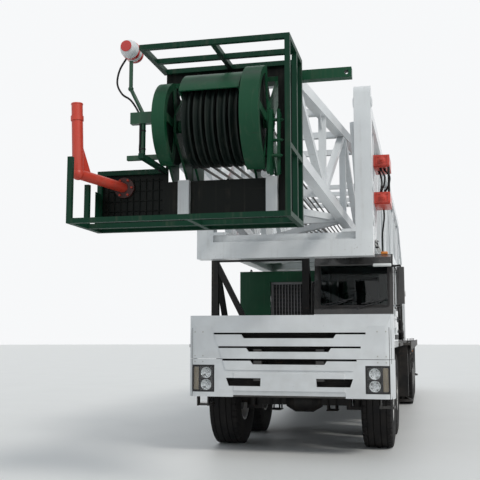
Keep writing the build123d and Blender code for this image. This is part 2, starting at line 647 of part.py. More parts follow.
def drawworks():
    """The hoist's housing: two round-topped side plates, floor and back guard."""
    floor = RAIL_Z1 + DECK_T
    y, z, reach = DRUM_Y, DRUM_Z, 560.0
    outline = ((y - reach, floor), (y + reach, floor), (y + reach, z), (y - reach, z))
    pieces = []
    for x in (-700.0, 640.0):
        cheek = Pos(x, 0, 0) * extrude(cabin_side(outline), amount=60)
        cheek = joined([cheek, along_x(reach, x, x + 60, y, z)])
        pieces.append(cheek - along_x(70 + RUN_GAP, x - 1, x + 61, y, z))
    guard = along_x(reach, -640, 640, y, z) - along_x(reach - 12, -640, 640, y, z)
    keep = block(-640, 640, y - reach, y + 40, z - 260, z + reach)
    pieces.append(guard & keep)
    pieces.append(block(-640, 640, y - reach, y + reach, floor, floor + 60))
    pieces += both_sides(along_x(190, 700, 815, y, z) - along_x(70 + RUN_GAP, 699, 800, y, z))
    return joined(pieces)


def drum():
    """The hoist drum: flanges, brake rims, core with its rope and shaft."""
    y, z = DRUM_Y, DRUM_Z
    return joined([along_x(70, -795, 795, y, z), along_x(300, -480, 480, y, z),
                   along_x(480, -500, -460, y, z), along_x(480, 460, 500, y, z),
                   along_x(400, -620, -500, y, z), along_x(400, 500, 620, y, z)])


def mast_base():
    """White legs at the tail: hinge posts, raking struts and rear landing posts."""
    floor = RAIL_Z1 + DECK_T
    pieces = []
    for side in (-1, 1):
        x = side * LOW_X
        ear = [block(x + dx - 22, x + dx + 22, PIVOT_Y - 110, PIVOT_Y + 110, PIVOT_Z - 330, PIVOT_Z)
               for dx in (-104, 104)]
        for dx in (-104, 104):
            ear.append(along_x(110, x + dx - 22, x + dx + 22, PIVOT_Y, PIVOT_Z))
        post = block(x - 126, x + 126, PIVOT_Y - 130, PIVOT_Y + 130, floor, PIVOT_Z - 320)
        pieces += ear + [post]
        pieces.append(bar((side * 700, PIVOT_Y, PIVOT_Z - 420), (side * 700, 11900, floor), 130))
        pieces.append(block(x - 80, x + 80, REAR_POST_Y, REAR_POST_Y + 200, 760, REAR_POST_Z))
        pieces.append(bar((x, PIVOT_Y + 100, PIVOT_Z - 420), (x, REAR_POST_Y + 60, PIVOT_Z - 420), 110))
        pieces.append(bar((x, PIVOT_Y + 60, floor + 70), (x, REAR_POST_Y + 60, floor + 70), 140))
        pieces.append(bar((x, PIVOT_Y + 60, floor + 80), (x, REAR_POST_Y + 60, PIVOT_Z - 460), 90))
        pieces.append(along_x(PIN_R, x - 140, x + 140, PIVOT_Y, PIVOT_Z))
        pieces.append(upright(45, x, REAR_POST_Y + 100, 430, 760))
        pieces.append(upright(150, x, REAR_POST_Y + 100, 400, 436))
    pieces.append(block(-LOW_X, LOW_X, PIVOT_Y - 70, PIVOT_Y + 70, PIVOT_Z - 480, PIVOT_Z - 340))
    pieces.append(block(-LOW_X, LOW_X, REAR_POST_Y + 40, REAR_POST_Y + 160, floor, floor + 140))
    pieces.append(block(-LOW_X, LOW_X, REAR_POST_Y + 40, REAR_POST_Y + 160, 2050, 2170))
    return joined(pieces) - block(-DECK_X, DECK_X, 11000, FRAME_Y1, 0, floor)


def rear_bar():
    """The black lamp bar at the tail."""
    pieces = [block(-1250, 1250, TAIL_Y - 80, TAIL_Y - 20, 880, 1080)]
    pieces += both_sides(block(RAIL_X, RAIL_X + RAIL_W, FRAME_Y1, TAIL_Y - 80, 920, 1060))
    return joined(pieces)


# Mast


def lattice(rows, chord, brace, open_from, open_to):
    """A box mast section, open on its top side.

    Rows are columns of station, half-width, back height, top height, read along
    the section; each pair of rows makes a bay of posts and diagonals."""
    pieces = []
    for side in (-1, 1):
        for corner in (2, 3):
            for a, b in zip(rows, rows[1:]):
                p, q = (side * a[1], a[0], a[corner]), (side * b[1], b[0], b[corner])
                pieces.append(bar(p, q, chord))
        for count, (a, b) in enumerate(zip(rows, rows[1:])):
            low, high = (a, b) if count % 2 else (b, a)
            pieces.append(bar((side * low[1], low[0], low[2]), (side * high[1], high[0], high[3]), brace))
            if count:
                pieces.append(bar((side * a[1], a[0], a[2]), (side * a[1], a[0], a[3]), brace))
    for count, (a, b) in enumerate(zip(rows, rows[1:])):
        turn = 1 if count % 2 else -1
        pieces.append(bar((-turn * a[1], a[0], a[2]), (turn * b[1], b[0], b[2]), brace))
        pieces.append(bar((-a[1], a[0], a[2]), (a[1], a[0], a[2]), brace))
    for row in rows:
        if open_from is not None and not open_from < row[0] < open_to:
            pieces.append(bar((-row[1], row[0], row[3]), (row[1], row[0], row[3]), brace))
    return pieces


def lower_rows():
    """Stations of the lower section's bays."""
    bays = 8
    step = (FOOT_TAPER_Y - LOW_Y0 - 100) / bays
    rows = [(LOW_Y0 + 100 + step * i, LOW_X, PIVOT_Z, LOW_TOP) for i in range(bays + 1)]
    drop = LOW_TOP - FOOT_TOP
    for station in ((FOOT_TAPER_Y + FOOT_ROW_Y) / 2, FOOT_ROW_Y):
        share = (station - FOOT_TAPER_Y) / (LOW_Y1 - FOOT_TAPER_Y)
        rows.append((station, LOW_X, PIVOT_Z, LOW_TOP - drop * share))
    return rows


def mast_lower():
    """The lower mast section with its mouth frame, feet and cylinder ears."""
    pieces = lattice(lower_rows(), LOW_CHORD, 90.0, None, None)
    for side in (-1, 1):
        x = side * LOW_X
        pieces.append(block(x - 100, x + 100, LOW_Y0, LOW_Y0 + 200, 2360, LOW_TOP + 75))
        pieces.append(along_x(100, x - 100, x + 100, LOW_Y0 + 100, LOW_TOP + 75))
        rail = sorted((side * (UP_X - UP_CHORD / 2), side * (LOW_X - LOW_CHORD / 2 + 5)))
        pieces.append(block(*rail, LOW_Y0, UP_Y1 + 200, SLIDE_Z - 60, SLIDE_Z))
        last = lower_rows()[-1]
        pieces.append(bar((x, last[0] - 30, PIVOT_Z), (x, LOW_Y1, PIVOT_Z), LOW_CHORD))
        pieces.append(bar((x, last[0], last[3]), (x, LOW_Y1, FOOT_TOP), LOW_CHORD))
        pieces.append(bar((x, LOW_Y1 - 45, PIVOT_Z), (x, LOW_Y1 - 45, FOOT_TOP), 90))
        pieces.append(along_x(100, x - LOW_CHORD / 2, x + LOW_CHORD / 2, PIVOT_Y, PIVOT_Z))
        head = CYL_HEAD
        under = PIVOT_Z - LOW_CHORD / 2
        pieces.append(block(x - 102, x + 102, head[0] - 140, head[0] + 140, under - 20, under))
        for x0, x1 in ((x - EAR_IN - EAR_T, x - EAR_IN), (x + EAR_IN, x + EAR_IN + EAR_T)):
            ear = block(x0, x1, head[0] - 90, head[0] + 90, head[1], under)
            pieces += [ear, along_x(90, x0, x1, head[0], head[1])]
    pieces.append(block(-LOW_X, LOW_X, LOW_Y0, LOW_Y0 + 200, 2360, 2560))
    body = joined(pieces)
    body -= block(-LOW_X + 105, LOW_X - 105, LOW_Y0 - 10, LOW_Y0 + 210, 2680, 5000)
    body = joined([body] + both_sides(guide_horn()))
    for side in (-1, 1):
        x = side * LOW_X
        body -= along_x(PIN_R + RUN_GAP, x - 100, x + 100, PIVOT_Y, PIVOT_Z)
        body -= along_x(CYL_PIN_R + RUN_GAP, x - 120, x + 120, CYL_HEAD[0], CYL_HEAD[1])
        for z in POST_HOLES:
            body -= along_x(POST_HOLE_R, x - 120, x + 120, LOW_Y0 + 100, z)
    return body - block(-1200, 1200, LOW_Y1, LOW_Y1 + 200, PIVOT_Z + 200, LOW_TOP)


def guide_horn():
    """A half-round funnel on an end post that leads the upper section's corners in."""
    face, y = LOW_X - 98, LOW_Y0 + 100
    low, high = 3150.0, UP_TOP - UP_CHORD / 2 - 15
    cone = Pos(face, y, (low + high) / 2) * Cone(12, 60, high - low)
    return cone & block(face - 100, face, y - 100, y + 100, low, high)


def mast_locks():
    """Red latch boxes outboard of the lower section's left and right sides."""
    found = []
    for z in (3180.0, 3680.0):
        found += both_sides(block(LOW_X + 45, LOW_X + 255, 1000, 1560, z, z + 150))
    return Compound(found)


def upper_rows():
    """Stations of the upper section's bays: a taper to the crown, then straight."""
    rows = [(UP_Y0, CROWN_X, CROWN_BACK, CROWN_TOP)]
    taper, straight = 3, 8
    for i in range(1, taper + 1):
        share = i / taper
        rows.append((UP_Y0 + (TAPER_Y - UP_Y0) * share,
                     CROWN_X + (UP_X - CROWN_X) * share,
                     CROWN_BACK + (UP_BACK - CROWN_BACK) * share,
                     CROWN_TOP + (UP_TOP - CROWN_TOP) * share))
    for i in range(1, straight + 1):
        rows.append((TAPER_Y + (UP_Y1 - 60 - TAPER_Y) * i / straight, UP_X, UP_BACK, UP_TOP))
    return rows


def mast_upper():
    """The upper mast section with its slide shoes."""
    pieces = lattice(upper_rows(), UP_CHORD, BRACE, 2000, UP_Y1)
    for x in STRUTS:
        pieces.append(block(x - STRUT_W / 2, x + STRUT_W / 2, UP_Y0 - BRACE / 2 - 121, UP_Y0 + 60, STRUT_Z0, 2680))
        pieces.append(block(x - STRUT_W / 2, x + STRUT_W / 2, PLATE_Y - 55, UP_Y0 - BRACE / 2 - 121, STRUT_Z0, STRUT_Z1))
        pieces.append(bar((x, UP_Y0 + 20, 2680 - 20), (x, UP_Y0 + 20, CROWN_BACK), 60))
    for y in (TAPER_Y + 50, UP_Y1 - 400):
        pieces += both_sides(block(UP_X - 50, UP_X + 50, y, y + 300, SLIDE_Z + RUN_GAP, UP_BACK))
    return joined(pieces)


def crown_frame():
    """The green crown beams, sheave cheeks, guards and the guy-line arm."""
    rear = UP_Y0 - BRACE / 2
    reach = SHEAVE_Z - CROWN_LOW
    pieces = [block(CHEEKS[0] - 10, CHEEKS[-1] + 60, rear - 120, rear, z0, z0 + 100)
              for z0 in (CROWN_LOW - 100, CROWN_HIGH)]
    outline = ((SHEAVE_Y - 110, SHEAVE_Z - 80), (SHEAVE_Y - 110, SHEAVE_Z + 80),
               (rear - 120, CROWN_HIGH), (rear, CROWN_HIGH), (rear, CROWN_LOW), (rear - 120, CROWN_LOW))
    window = ((SHEAVE_Y + 150, SHEAVE_Z - 60), (SHEAVE_Y + 150, SHEAVE_Z + 60),
              (rear - 60, SHEAVE_Z + reach * 0.6), (rear - 60, SHEAVE_Z - reach * 0.6))
    for x in CHEEKS:
        cheek = extrude(cabin_side(outline), amount=CHEEK_T) - extrude(cabin_side(window), amount=CHEEK_T)
        pieces.append(Pos(x - CHEEK_T / 2, 0, 0) * cheek)
    pieces.append(along_x(SHAFT_R, CHEEKS[0] - 30, CHEEKS[-1] + 30, SHEAVE_Y, SHEAVE_Z))
    for x0, x1, radius, first, last in GUARDS:
        pieces.append(ring(x0, x1, radius, radius - 12) & wedge(x0, x1, first, last))
        for x in (x0, x1 - 10):
            web = ring(x, x + 10, radius, radius - 60) & wedge(x, x + 10, first, last)
            pieces += [web, along_x(SHAFT_R + 50, x, x + 10, SHEAVE_Y, SHEAVE_Z)]
            for angle in (first + 6, (first + last) / 2, last - 6):
                pieces.append(spoke(x + 5, radius - 20, angle))
    arm_z = CROWN_HIGH + 50
    pieces.append(block(CHEEKS[-1], ARM_X, rear - 90, rear, arm_z - 45, arm_z + 45))
    eye = Pos(ARM_X - 45, rear - 45, arm_z) * Rot(90, 0, 0) * Cylinder(GUY_EYE_R, 100)
    return joined(pieces) - eye


def ring(x0, x1, outer, inner):
    """A flat ring about the sheave shaft."""
    return (along_x(outer, x0, x1, SHEAVE_Y, SHEAVE_Z)
            - along_x(inner, x0 - 1, x1 + 1, SHEAVE_Y, SHEAVE_Z))


def spoke(x, reach, angle):
    """A flat arm from the sheave shaft out to a guard."""
    turn = math.radians(angle)
    tip = (x, SHEAVE_Y - reach * math.cos(turn), SHEAVE_Z + reach * math.sin(turn))
    return bar((x, SHEAVE_Y, SHEAVE_Z), tip, 10, 70)


def wedge(x0, x1, first, last):
    """A pie slice about the sheave shaft between two angles, 0 facing forward."""
    far = 900.0
    points = [(0.0, 0.0)]
    for angle in (first, (first + last) / 2, last):
        points.append((-far * math.cos(math.radians(angle)), far * math.sin(math.radians(angle))))
    face = Plane.YZ * make_face(Polyline(*points, close=True))
    return Pos(x0, SHEAVE_Y, SHEAVE_Z) * extrude(face, amount=x1 - x0)


def sheaves():
    """Grooved sheaves that turn on the crown shaft."""
    found = []
    for x, radius, width in SHEAVES:
        half = width / 2
        bore = SHAFT_R + RUN_GAP
        points = ((x - half, bore), (x - half, radius), (x - half + 12, radius), (x, radius - 30),
                  (x + half - 12, radius), (x + half, radius), (x + half, bore))
        found.append(revolve(Plane.XY * make_face(Polyline(*points, close=True)), Axis.X))
    return Pos(0, SHEAVE_Y, SHEAVE_Z) * Compound(found)


def crown_platform():
    """The green plate with its lobe, toe edge, posts and two rails."""
    outline = ((PLAT_X0, PLAT_Z1), (PLAT_X1, PLAT_Z1), (PLAT_X1, PLAT_Z0), (LOBE_X0, PLAT_Z0),
               (LOBE_X0, LOBE_Z1), (PLAT_X0, LOBE_Z1))
    face = Plane.XZ * make_face(Polyline(*outline, close=True))
    plate = Pos(0, PLATE_Y + PLATE_T, 0) * extrude(face, amount=PLATE_T)
    hole = block(CHEEKS[0] - 11, CHEEKS[-1] + 40, PLATE_Y - 60, PLATE_Y + 40, CROWN_LOW, CROWN_HIGH)
    notches = [block(x - STRUT_W / 2 - RUN_GAP, x + STRUT_W / 2 + RUN_GAP, PLATE_Y - 60, PLATE_Y + 40,
                     STRUT_Z0 - RUN_GAP, STRUT_Z1 + RUN_GAP) for x in STRUTS]
    pieces = [plate - hole - notches[0] - notches[1]]
    half = RAIL_W2 / 2
    for count, (a, b) in enumerate(zip(outline, outline[1:])):
        (x0, z0), (x1, z1) = sorted((a, b))
        for y in (RAIL_TOP_Y, RAIL_MID_Y, PLATE_Y - half):
            if count == 4 and y < PLATE_Y - half:
                continue
            top = DAVIT_REST_Z if count == 3 and y == RAIL_MID_Y else max(z0, z1) + half
            pieces.append(block(x0 - half, x1 + half, y - half, y + half, min(z0, z1) - half, top))
    posts = [corner for corner in outline if corner != (LOBE_X0, LOBE_Z1)]
    for x, z in posts + [(0.0, PLAT_Z1), (-200.0, PLAT_Z0), (PLAT_X1, 2915.0)]:
        pieces.append(block(x - half, x + half, RAIL_TOP_Y, PLATE_Y, z - half, z + half))
    for z in (CROWN_LOW - 50, CROWN_HIGH + 50):
        pieces.append(block(-300, 300, PLATE_Y + PLATE_T, UP_Y0 - BRACE / 2 - 120, z - 40, z + 40))
    return joined(pieces)


def davit():
    """The red bent arm at the platform's lobe."""
    foot, corner, tip = (-980, PLATE_Y, 2750), (-1225, -3370, 2800), (-1245, -3380, 3400)
    side = Vector(foot[0] - corner[0], foot[1] - corner[1], 0).normalized()
    plane = Plane(origin=corner, x_dir=side, z_dir=(side.Y, -side.X, 0))
    gusset = extrude(plane * make_face(Polyline((0, 0), (140, 0), (0, 330), close=True)), amount=10, both=True)
    pieces = [Pos(*foot) * Rot(90, 0, 0) * Cylinder(92, 30, align=(Align.CENTER, Align.CENTER, Align.MIN)),
              rod(foot, corner, 45),
              rod(corner, tip, 48), Pos(*corner) * Sphere(54), gusset]
    return joined(pieces) - block(-1300, -700, PLATE_Y, PLATE_Y + 100, 2600, 2900)


def beacon():
    """The aircraft warning lamp and its bent stand, held by the left guard."""
    x, y, z = -820.0, RAIL_MID_Y - 20.0, 3900.0
    edge = GUARDS[0][0]
    return joined([rod((x, y + 90, z), (x, y - 60, z), 78), Pos(x, y - 60, z) * Sphere(76),
                   upright(17, x, y, 3560, z), Pos(x, y, 3560) * Sphere(24),
                   rod((x, y, 3560), (-700, y, 3320), 17),
                   block(-810, edge, y - 30, y + 30, 3240, 3340),
                   upright(20, -700, y, 2945, 3250),
                   block(-840, edge, y - 20, y + 20, 2925, 2965)])


def travelling_block():
    """The red block with its sheave cheeks and hook, cradled in the mast."""
    y, z = BLOCK_Y, BLOCK_Z
    pieces = [block(-200, 200, y - 420, y + 300, z - 190, z + 190)]
    pieces[0] = fillet(pieces[0].edges().filter_by(Axis.X), 150)
    pieces.append(rod((0, y + 300, z), (0, y + 520, z), 80))
    hook = Pos(0, y + 700, z) * Rot(0, 90, 0) * Torus(150, 45)
    pieces.append(hook)
    pieces.append(block(-90, 90, y - 200, y + 150, UP_BACK + BRACE / 2, z - 150))
    return joined(pieces)


def racking_board():
    """The folded racking board: a flat frame, fingers and toe edge."""
    y0, y1, z0 = BOARD_Y, BOARD_Y + 2300, BOARD_Z
    pieces = both_sides(block(BOARD_X - 80, BOARD_X, y0, y1, z0, z0 + 80))
    for y in (y0, y0 + 760, y0 + 1520, y1 - 80):
        pieces.append(block(-BOARD_X, BOARD_X, y, y + 80, z0, z0 + 80))
    for x in range(-640, 641, 160):
        pieces.append(block(x - 20, x + 20, y0 + 800, y1 - 40, z0 + 20, z0 + 60))
    for side in (-1, 1):
        x = side * UP_X
        pieces.append(block(x - 30, x + 30, y0 - 160, y0 + 60, z0 - 60, z0 + 60))
        pieces.append(along_x(60, x - 30, x + 30, y0 - 160, z0 - 60))
    body = joined(pieces)
    return body - along_x(20 + RUN_GAP, -900, 900, y0 - 160, z0 - 60)


def board_brackets():
    """White ears on the upper section that carry the racking board's hinge."""
    y, z = BOARD_Y - 160, BOARD_Z - 60
    found = []
    for side in (-1, 1):
        x = side * UP_X
        ears = [joined([block(x + dx - 12, x + dx + 12, y - 60, y + 60, UP_TOP + 40, z),
                        along_x(60, x + dx - 12, x + dx + 12, y, z)]) for dx in (-48, 48)]
        found.append(joined(ears + [along_x(20, x - 60, x + 60, y, z)]))
    return found


# Cylinders


def cylinder_frame():
    """The plane's axis and length from the base pin to the head pin."""
    dy, dz = CYL_HEAD[0] - CYL_BASE[0], CYL_HEAD[1] - CYL_BASE[1]
    length = math.hypot(dy, dz)
    return dy / length, dz / length, length


def on_cylinder(distance, x):
    """A point along the cylinder's line."""
    uy, uz, _ = cylinder_frame()
    return (x, CYL_BASE[0] + uy * distance, CYL_BASE[1] + uz * distance)


def barrels():
    """Both raising cylinders' barrels."""
    _, _, length = cylinder_frame()
    end = length - CYL_DEAD
    found = []
    for x in (-CYL_X, CYL_X):
        body = joined([rod(on_cylinder(150, x), on_cylinder(end, x), CYL_BARREL_R),
                       bar(on_cylinder(20, x), on_cylinder(160, x), 90, 130),
                       rod(on_cylinder(end, x), on_cylinder(end + 60, x), CYL_BARREL_R + 14),
                       along_x(78, x - 45, x + 45, *CYL_BASE)])
        body -= rod(on_cylinder(200, x), on_cylinder(length, x), CYL_ROD_R + RUN_GAP)
        found.append(body - along_x(CYL_PIN_R + RUN_GAP, x - 60, x + 60, *CYL_BASE))
    return Compound(found)


def rods():
    """Both raising cylinders' rods with their eyes."""
    _, _, length = cylinder_frame()
    found = []
    for x in (-CYL_X, CYL_X):
        body = joined([rod(on_cylinder(230, x), on_cylinder(length, x), CYL_ROD_R),
                       along_x(75, x - 66, x + 66, *CYL_HEAD)])
        found.append(body - along_x(CYL_PIN_R + RUN_GAP, x - 70, x + 70, *CYL_HEAD))
    return Compound(found)


def head_pins():
    """Short pins in the mast ears, which stop at the ears' inner faces."""
    found = []
    for x in (-CYL_X, CYL_X):
        found += [along_x(CYL_PIN_R, x - 115, x - EAR_IN, *CYL_HEAD),
                  along_x(CYL_PIN_R, x + EAR_IN, x + 115, *CYL_HEAD)]
    return found


def cylinder_feet():
    """Deck ears and pins under the raising cylinders."""
    floor = RAIL_Z1 + DECK_T
    found = []
    for x in (-CYL_X, CYL_X):
        y, z = CYL_BASE
        ears = []
        for dx in (-66, 66):
            ears += [block(x + dx - 18, x + dx + 18, y - 90, y + 90, floor, z),
                     along_x(90, x + dx - 18, x + dx + 18, y, z)]
        found.append(joined(ears + [along_x(CYL_PIN_R, x - 95, x + 95, y, z)]))
    return found


# Places that follow from the sizes above
BACK_REST_Z = PIVOT_Z - LOW_CHORD / 2
DRUM_Y, DRUM_Z = 10300.0, 1960.0
REAR_POST_Y = PIVOT_Y + FOOT_TOP - PIVOT_Z - 100
REAR_POST_Z = PIVOT_Z - (LOW_Y1 - PIVOT_Y) - 15
SHEAVE_Y, SHEAVE_Z = -3060.0, 3240.0
SHAFT_R = 55.0
ARM_X = 1040.0          # end of the guy-line arm
GUY_EYE_R = 20.0
CHEEK_T = 20.0
CROWN_LOW, CROWN_HIGH = 2790.0, 3690.0
CHEEKS = (-566.0, -434.0, -330.0, 200.0, 378.0)
# columns: middle, radius and width of each sheave
SHEAVES = ((-500.0, 330.0, 70.0), (-265.0, 370.0, 70.0), (-165.0, 370.0, 70.0),
           (-65.0, 370.0, 70.0), (35.0, 370.0, 70.0), (135.0, 370.0, 70.0), (290.0, 420.0, 70.0))
# columns: guard's left and right faces, radius, first and last angle from the front
GUARDS = ((-556.0, -444.0, 375.0, -75.0, 80.0), (-320.0, 190.0, 430.0, 28.0, 80.0),
          (210.0, 368.0, 470.0, -70.0, 80.0))
BLOCK_Y, BLOCK_Z = 9000.0, 3300.0
BOARD_CLEAR = 30.0       # between the lower section's chords and the folded board
BOARD_Y, BOARD_Z = 6000.0, LOW_TOP + LOW_CHORD / 2 + BOARD_CLEAR
BOARD_X = 840.0


def build():
    """Every node of the truck, by name."""
    nodes = {}
    for axle, station in enumerate(FRONT_AXLES, 1):
        for side, letter in ((1, "l"), (-1, "r")):
            tag = f"{axle}{letter}"
            nodes[f"tyre_{tag}"], nodes[f"rim_{tag}"] = front_wheel(station, side)
            nodes[f"knuckle_{tag}"] = knuckle(station, side)
    for axle, station in enumerate(REAR_AXLES, 3):
        for side, letter in ((1, "l"), (-1, "r")):
            tag = f"{axle}{letter}"
            nodes[f"twin_tyres_{tag}"], nodes[f"twin_rim_{tag}"] = rear_wheel(station, side)
    for station, place in zip(JACK_STATIONS, ("front", "rear")):
        nodes[f"jack_{place}_l"] = jack(JACK_X, station)
        nodes[f"jack_{place}_r"] = jack(-JACK_X, station)
    nodes["axles"] = axles()
    nodes["springs"] = springs()
    nodes["chassis_frame"] = joined([chassis_frame(), rear_bar()])
    nodes["deck"] = joined([deck()] + cylinder_feet())
    nodes["side_boxes"] = side_boxes()
    nodes["bumper"] = bumper()
    nodes["lamps"] = lamps()
    nodes["nose"] = nose()
    nodes["cab_shell"] = cab_shell()
    nodes["cab_glass"] = cab_glass()
    nodes["cab_interior"] = cab_interior()
    nodes["cab_door"] = cab_door()
    nodes["door_glass"] = door_glass()
    nodes["mast_rest"] = mast_rest()
    nodes["machine_housings"] = Compound([engine_housing(), gearbox_housing()])
    nodes["engine_block"] = engine_block()
    nodes["exhausts"] = exhausts()
    nodes["drawworks"] = drawworks()
    nodes["drum"] = drum()
    nodes["mast_base"] = mast_base()
    nodes["mast_lower"] = joined([mast_lower()] + head_pins())
    nodes["mast_locks"] = mast_locks()
    nodes["mast_upper"] = joined([mast_upper()] + board_brackets())
    nodes["crown_frame"] = crown_frame()
    nodes["crown_sheaves"] = sheaves()
    nodes["crown_platform"] = crown_platform()
    nodes["davit"] = davit()
    nodes["beacon"] = beacon()
    nodes["travelling_block"] = travelling_block()
    nodes["racking_board"] = racking_board()
    nodes["cylinder_barrels"] = barrels()
    nodes["cylinder_rods"] = rods()
    return nodes


os.makedirs("parts", exist_ok=True)
for name, shape in build().items():
    export_step(Pos(*SHIFT) * shape, f"parts/{name}.step")
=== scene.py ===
"""Looks of the well flushing truck: finishes for its CAD nodes and the pieces that dress them.

Lengths are metres. Y is written as a station, 0 at the bumper's face and growing to the rear,
and piece() moves every mesh by FRONT_Y into the row frame. A shape is an array of points with
a list of face arrays, worked out as whole arrays. Left is +X.
"""

import json
import math

import bpy
import numpy as np
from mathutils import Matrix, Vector


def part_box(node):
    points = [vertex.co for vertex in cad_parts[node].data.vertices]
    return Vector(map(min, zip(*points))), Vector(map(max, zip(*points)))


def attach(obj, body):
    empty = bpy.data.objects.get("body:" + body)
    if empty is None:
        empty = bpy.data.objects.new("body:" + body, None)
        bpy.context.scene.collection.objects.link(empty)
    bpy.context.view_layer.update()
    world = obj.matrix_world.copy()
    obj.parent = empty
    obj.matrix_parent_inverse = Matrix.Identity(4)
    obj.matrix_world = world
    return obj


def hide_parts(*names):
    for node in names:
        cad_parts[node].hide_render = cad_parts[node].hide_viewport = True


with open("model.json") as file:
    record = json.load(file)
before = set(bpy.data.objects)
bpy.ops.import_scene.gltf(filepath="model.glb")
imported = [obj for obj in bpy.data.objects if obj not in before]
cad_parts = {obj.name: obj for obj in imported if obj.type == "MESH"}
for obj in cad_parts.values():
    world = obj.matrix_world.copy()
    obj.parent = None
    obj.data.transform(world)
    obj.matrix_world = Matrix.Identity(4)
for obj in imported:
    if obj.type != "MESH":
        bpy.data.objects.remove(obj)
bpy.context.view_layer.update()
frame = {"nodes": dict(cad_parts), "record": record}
NODES = frame["nodes"]

# Places and directions

FRONT_Y = round(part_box("bumper")[0][1], 4)
ACROSS, REARWARD, FORWARD, UP = (1, 0, 0), (0, 1, 0), (0, -1, 0), (0, 0, 1)
STANDING = np.array([[0, 0, -1], [0, 1, 0], [1, 0, 0]])     # turns a bolt's +X up
FACING = np.array([[0, 1, 0], [-1, 0, 0], [0, 0, 1]])       # turns a bolt's +X forward
SIDES = {"l": 1, "r": -1}


def box(node):
    """A CAD node's lowest and highest corners in whole millimetres, with Y as a station."""
    return [np.round(np.array(corner) - (0, FRONT_Y, 0), 3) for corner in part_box(node)]


def middle(node):
    """The middle of a CAD node's box."""
    low, high = box(node)
    return np.round((low + high) / 2, 4)


FRONT_AXLES = {axle: middle(f"tyre_{axle}l") for axle in "12"}
REAR_AXLES = {axle: middle(f"twin_tyres_{axle}l") for axle in "345"}
TYRE_R = FRONT_AXLES["1"][2]


# Nets of points

def net(rows, cols, wrap_rows=False, wrap_cols=True):
    """Corners of the quads of a rows by cols net; either way can close on itself."""
    i, j = np.meshgrid(np.arange(rows - (not wrap_rows)), np.arange(cols - (not wrap_cols)), indexing="ij")
    k, m = (i + 1) % rows, (j + 1) % cols
    return np.stack([i * cols + j, i * cols + m, k * cols + m, k * cols + j], -1).reshape(-1, 4)


def volume(points, faces):
    """Signed volume: for each face, its middle times the sum of its edges' cross products."""
    total = 0.0
    for corners in (points[group] for group in faces):
        normals = np.cross(corners, np.roll(corners, -1, 1)).sum(1) / 2
        total += np.einsum("ij,ij->", corners.mean(1), normals) / 3
    return total


def skin(points, wrap_rows=False, wrap_cols=True):
    """A closed surface over a (rows, cols, 3) array of points, facing outwards. Its open ends
    are closed by one face each."""
    rows, cols = points.shape[:2]
    faces = [net(rows, cols, wrap_rows, wrap_cols)]
    if not wrap_rows:
        faces += [np.arange(cols)[None, ::-1], np.arange(cols)[None] + (rows - 1) * cols]
    points = points.reshape(-1, 3)
    if volume(points - points.mean(0), faces) < 0:
        faces = [group[:, ::-1] for group in faces]
    return points, faces


def merge(*shapes):
    """Several shapes as one, with their points numbered on from each other."""
    starts = np.cumsum([0] + [len(points) for points, _ in shapes])
    faces = [quads + start for (_, groups), start in zip(shapes, starts) for quads in groups]
    return np.concatenate([points for points, _ in shapes]), faces


def turned(shape, matrix, centre=(0, 0, 0)):
    """The shape turned by a 3x3 matrix about a centre."""
    points, faces = shape
    return (points - centre) @ np.asarray(matrix).T + centre, faces


def moved(shape, step):
    """The shape moved by a step."""
    return shape[0] + np.asarray(step, float), shape[1]


def mirrored(shape):
    """The shape's mirror image across the truck's middle, with its faces turned back out."""
    points, faces = shape
    return points * (-1, 1, 1), [quads[:, ::-1] for quads in faces]


def both(*shapes):
    """The shapes and their mirror image."""
    whole = merge(*shapes)
    return merge(whole, mirrored(whole))


def copies(shape, places, turns=None):
    """The shape at each place: its points times each turn's matrix, plus the place. With one
    place and many turns, all copies stand there."""
    points, faces = shape
    places = np.asarray(places, float).reshape(-1, 3)
    if turns is None:
        turns = np.eye(3)[None]
    places, turns = np.broadcast_arrays(places[:, None], turns)
    spread = np.einsum("nij,pj->npi", turns, points) + places[:, :1]
    steps = (np.arange(len(places)) * len(points))[:, None, None]
    return spread.reshape(-1, 3), [(quads[None] + steps).reshape(-1, quads.shape[1]) for quads in faces]


def about_z(angles):
    """Turns about Z, as an (n, 3, 3) array."""
    c, s, o = np.cos(angles), np.sin(angles), np.zeros(len(angles))
    return np.stack([np.stack([c, -s, o], -1), np.stack([s, c, o], -1), np.stack([o, o, o + 1], -1)], 1)


def axes_to(direction):
    """A turn that brings +X to the direction."""
    x = np.asarray(direction, float) / np.linalg.norm(direction)
    side = np.cross((0, 0, 1) if abs(x[2]) < 0.9 else (0, 1, 0), x)
    side /= np.linalg.norm(side)
    return np.stack([x, side, np.cross(x, side)], -1)


def ring(centre, radius, count, axis=0, arc=None):
    """Places round an axis: radius times cosine and sine on the other two, all the way round
    or from one angle of the arc to the other."""
    angle = np.linspace(*arc, count) if arc else np.linspace(0, 2 * np.pi, count, endpoint=False)
    round_part = radius * np.stack([np.cos(angle), np.sin(angle)], -1)
    return np.insert(round_part, axis, 0.0, axis=1) + centre


def lathe(profile, centre=(0, 0, 0), direction=ACROSS, sides=32, closed=False):
    """A profile of (along, radius) pairs turned about an axis: each point goes round by radius
    times cosine and sine. A closed profile makes a ring."""
    profile = np.asarray(profile, float)
    angle = np.linspace(0, 2 * np.pi, sides, endpoint=False)
    along = np.broadcast_to(profile[:, :1], (len(profile), sides))
    points = np.stack([along, profile[:, 1:] * np.cos(angle), profile[:, 1:] * np.sin(angle)], -1)
    points = points @ axes_to(direction).T + np.asarray(centre, float)
    return skin(points, wrap_rows=closed)


def band(half, inner, outer, centre, direction, sides=32):
    """A flat ring round an axis, half its width to each side of the centre."""
    profile = [(-half, inner), (-half, outer), (half, outer), (half, inner)]
    return lathe(profile, centre, direction, sides, closed=True)


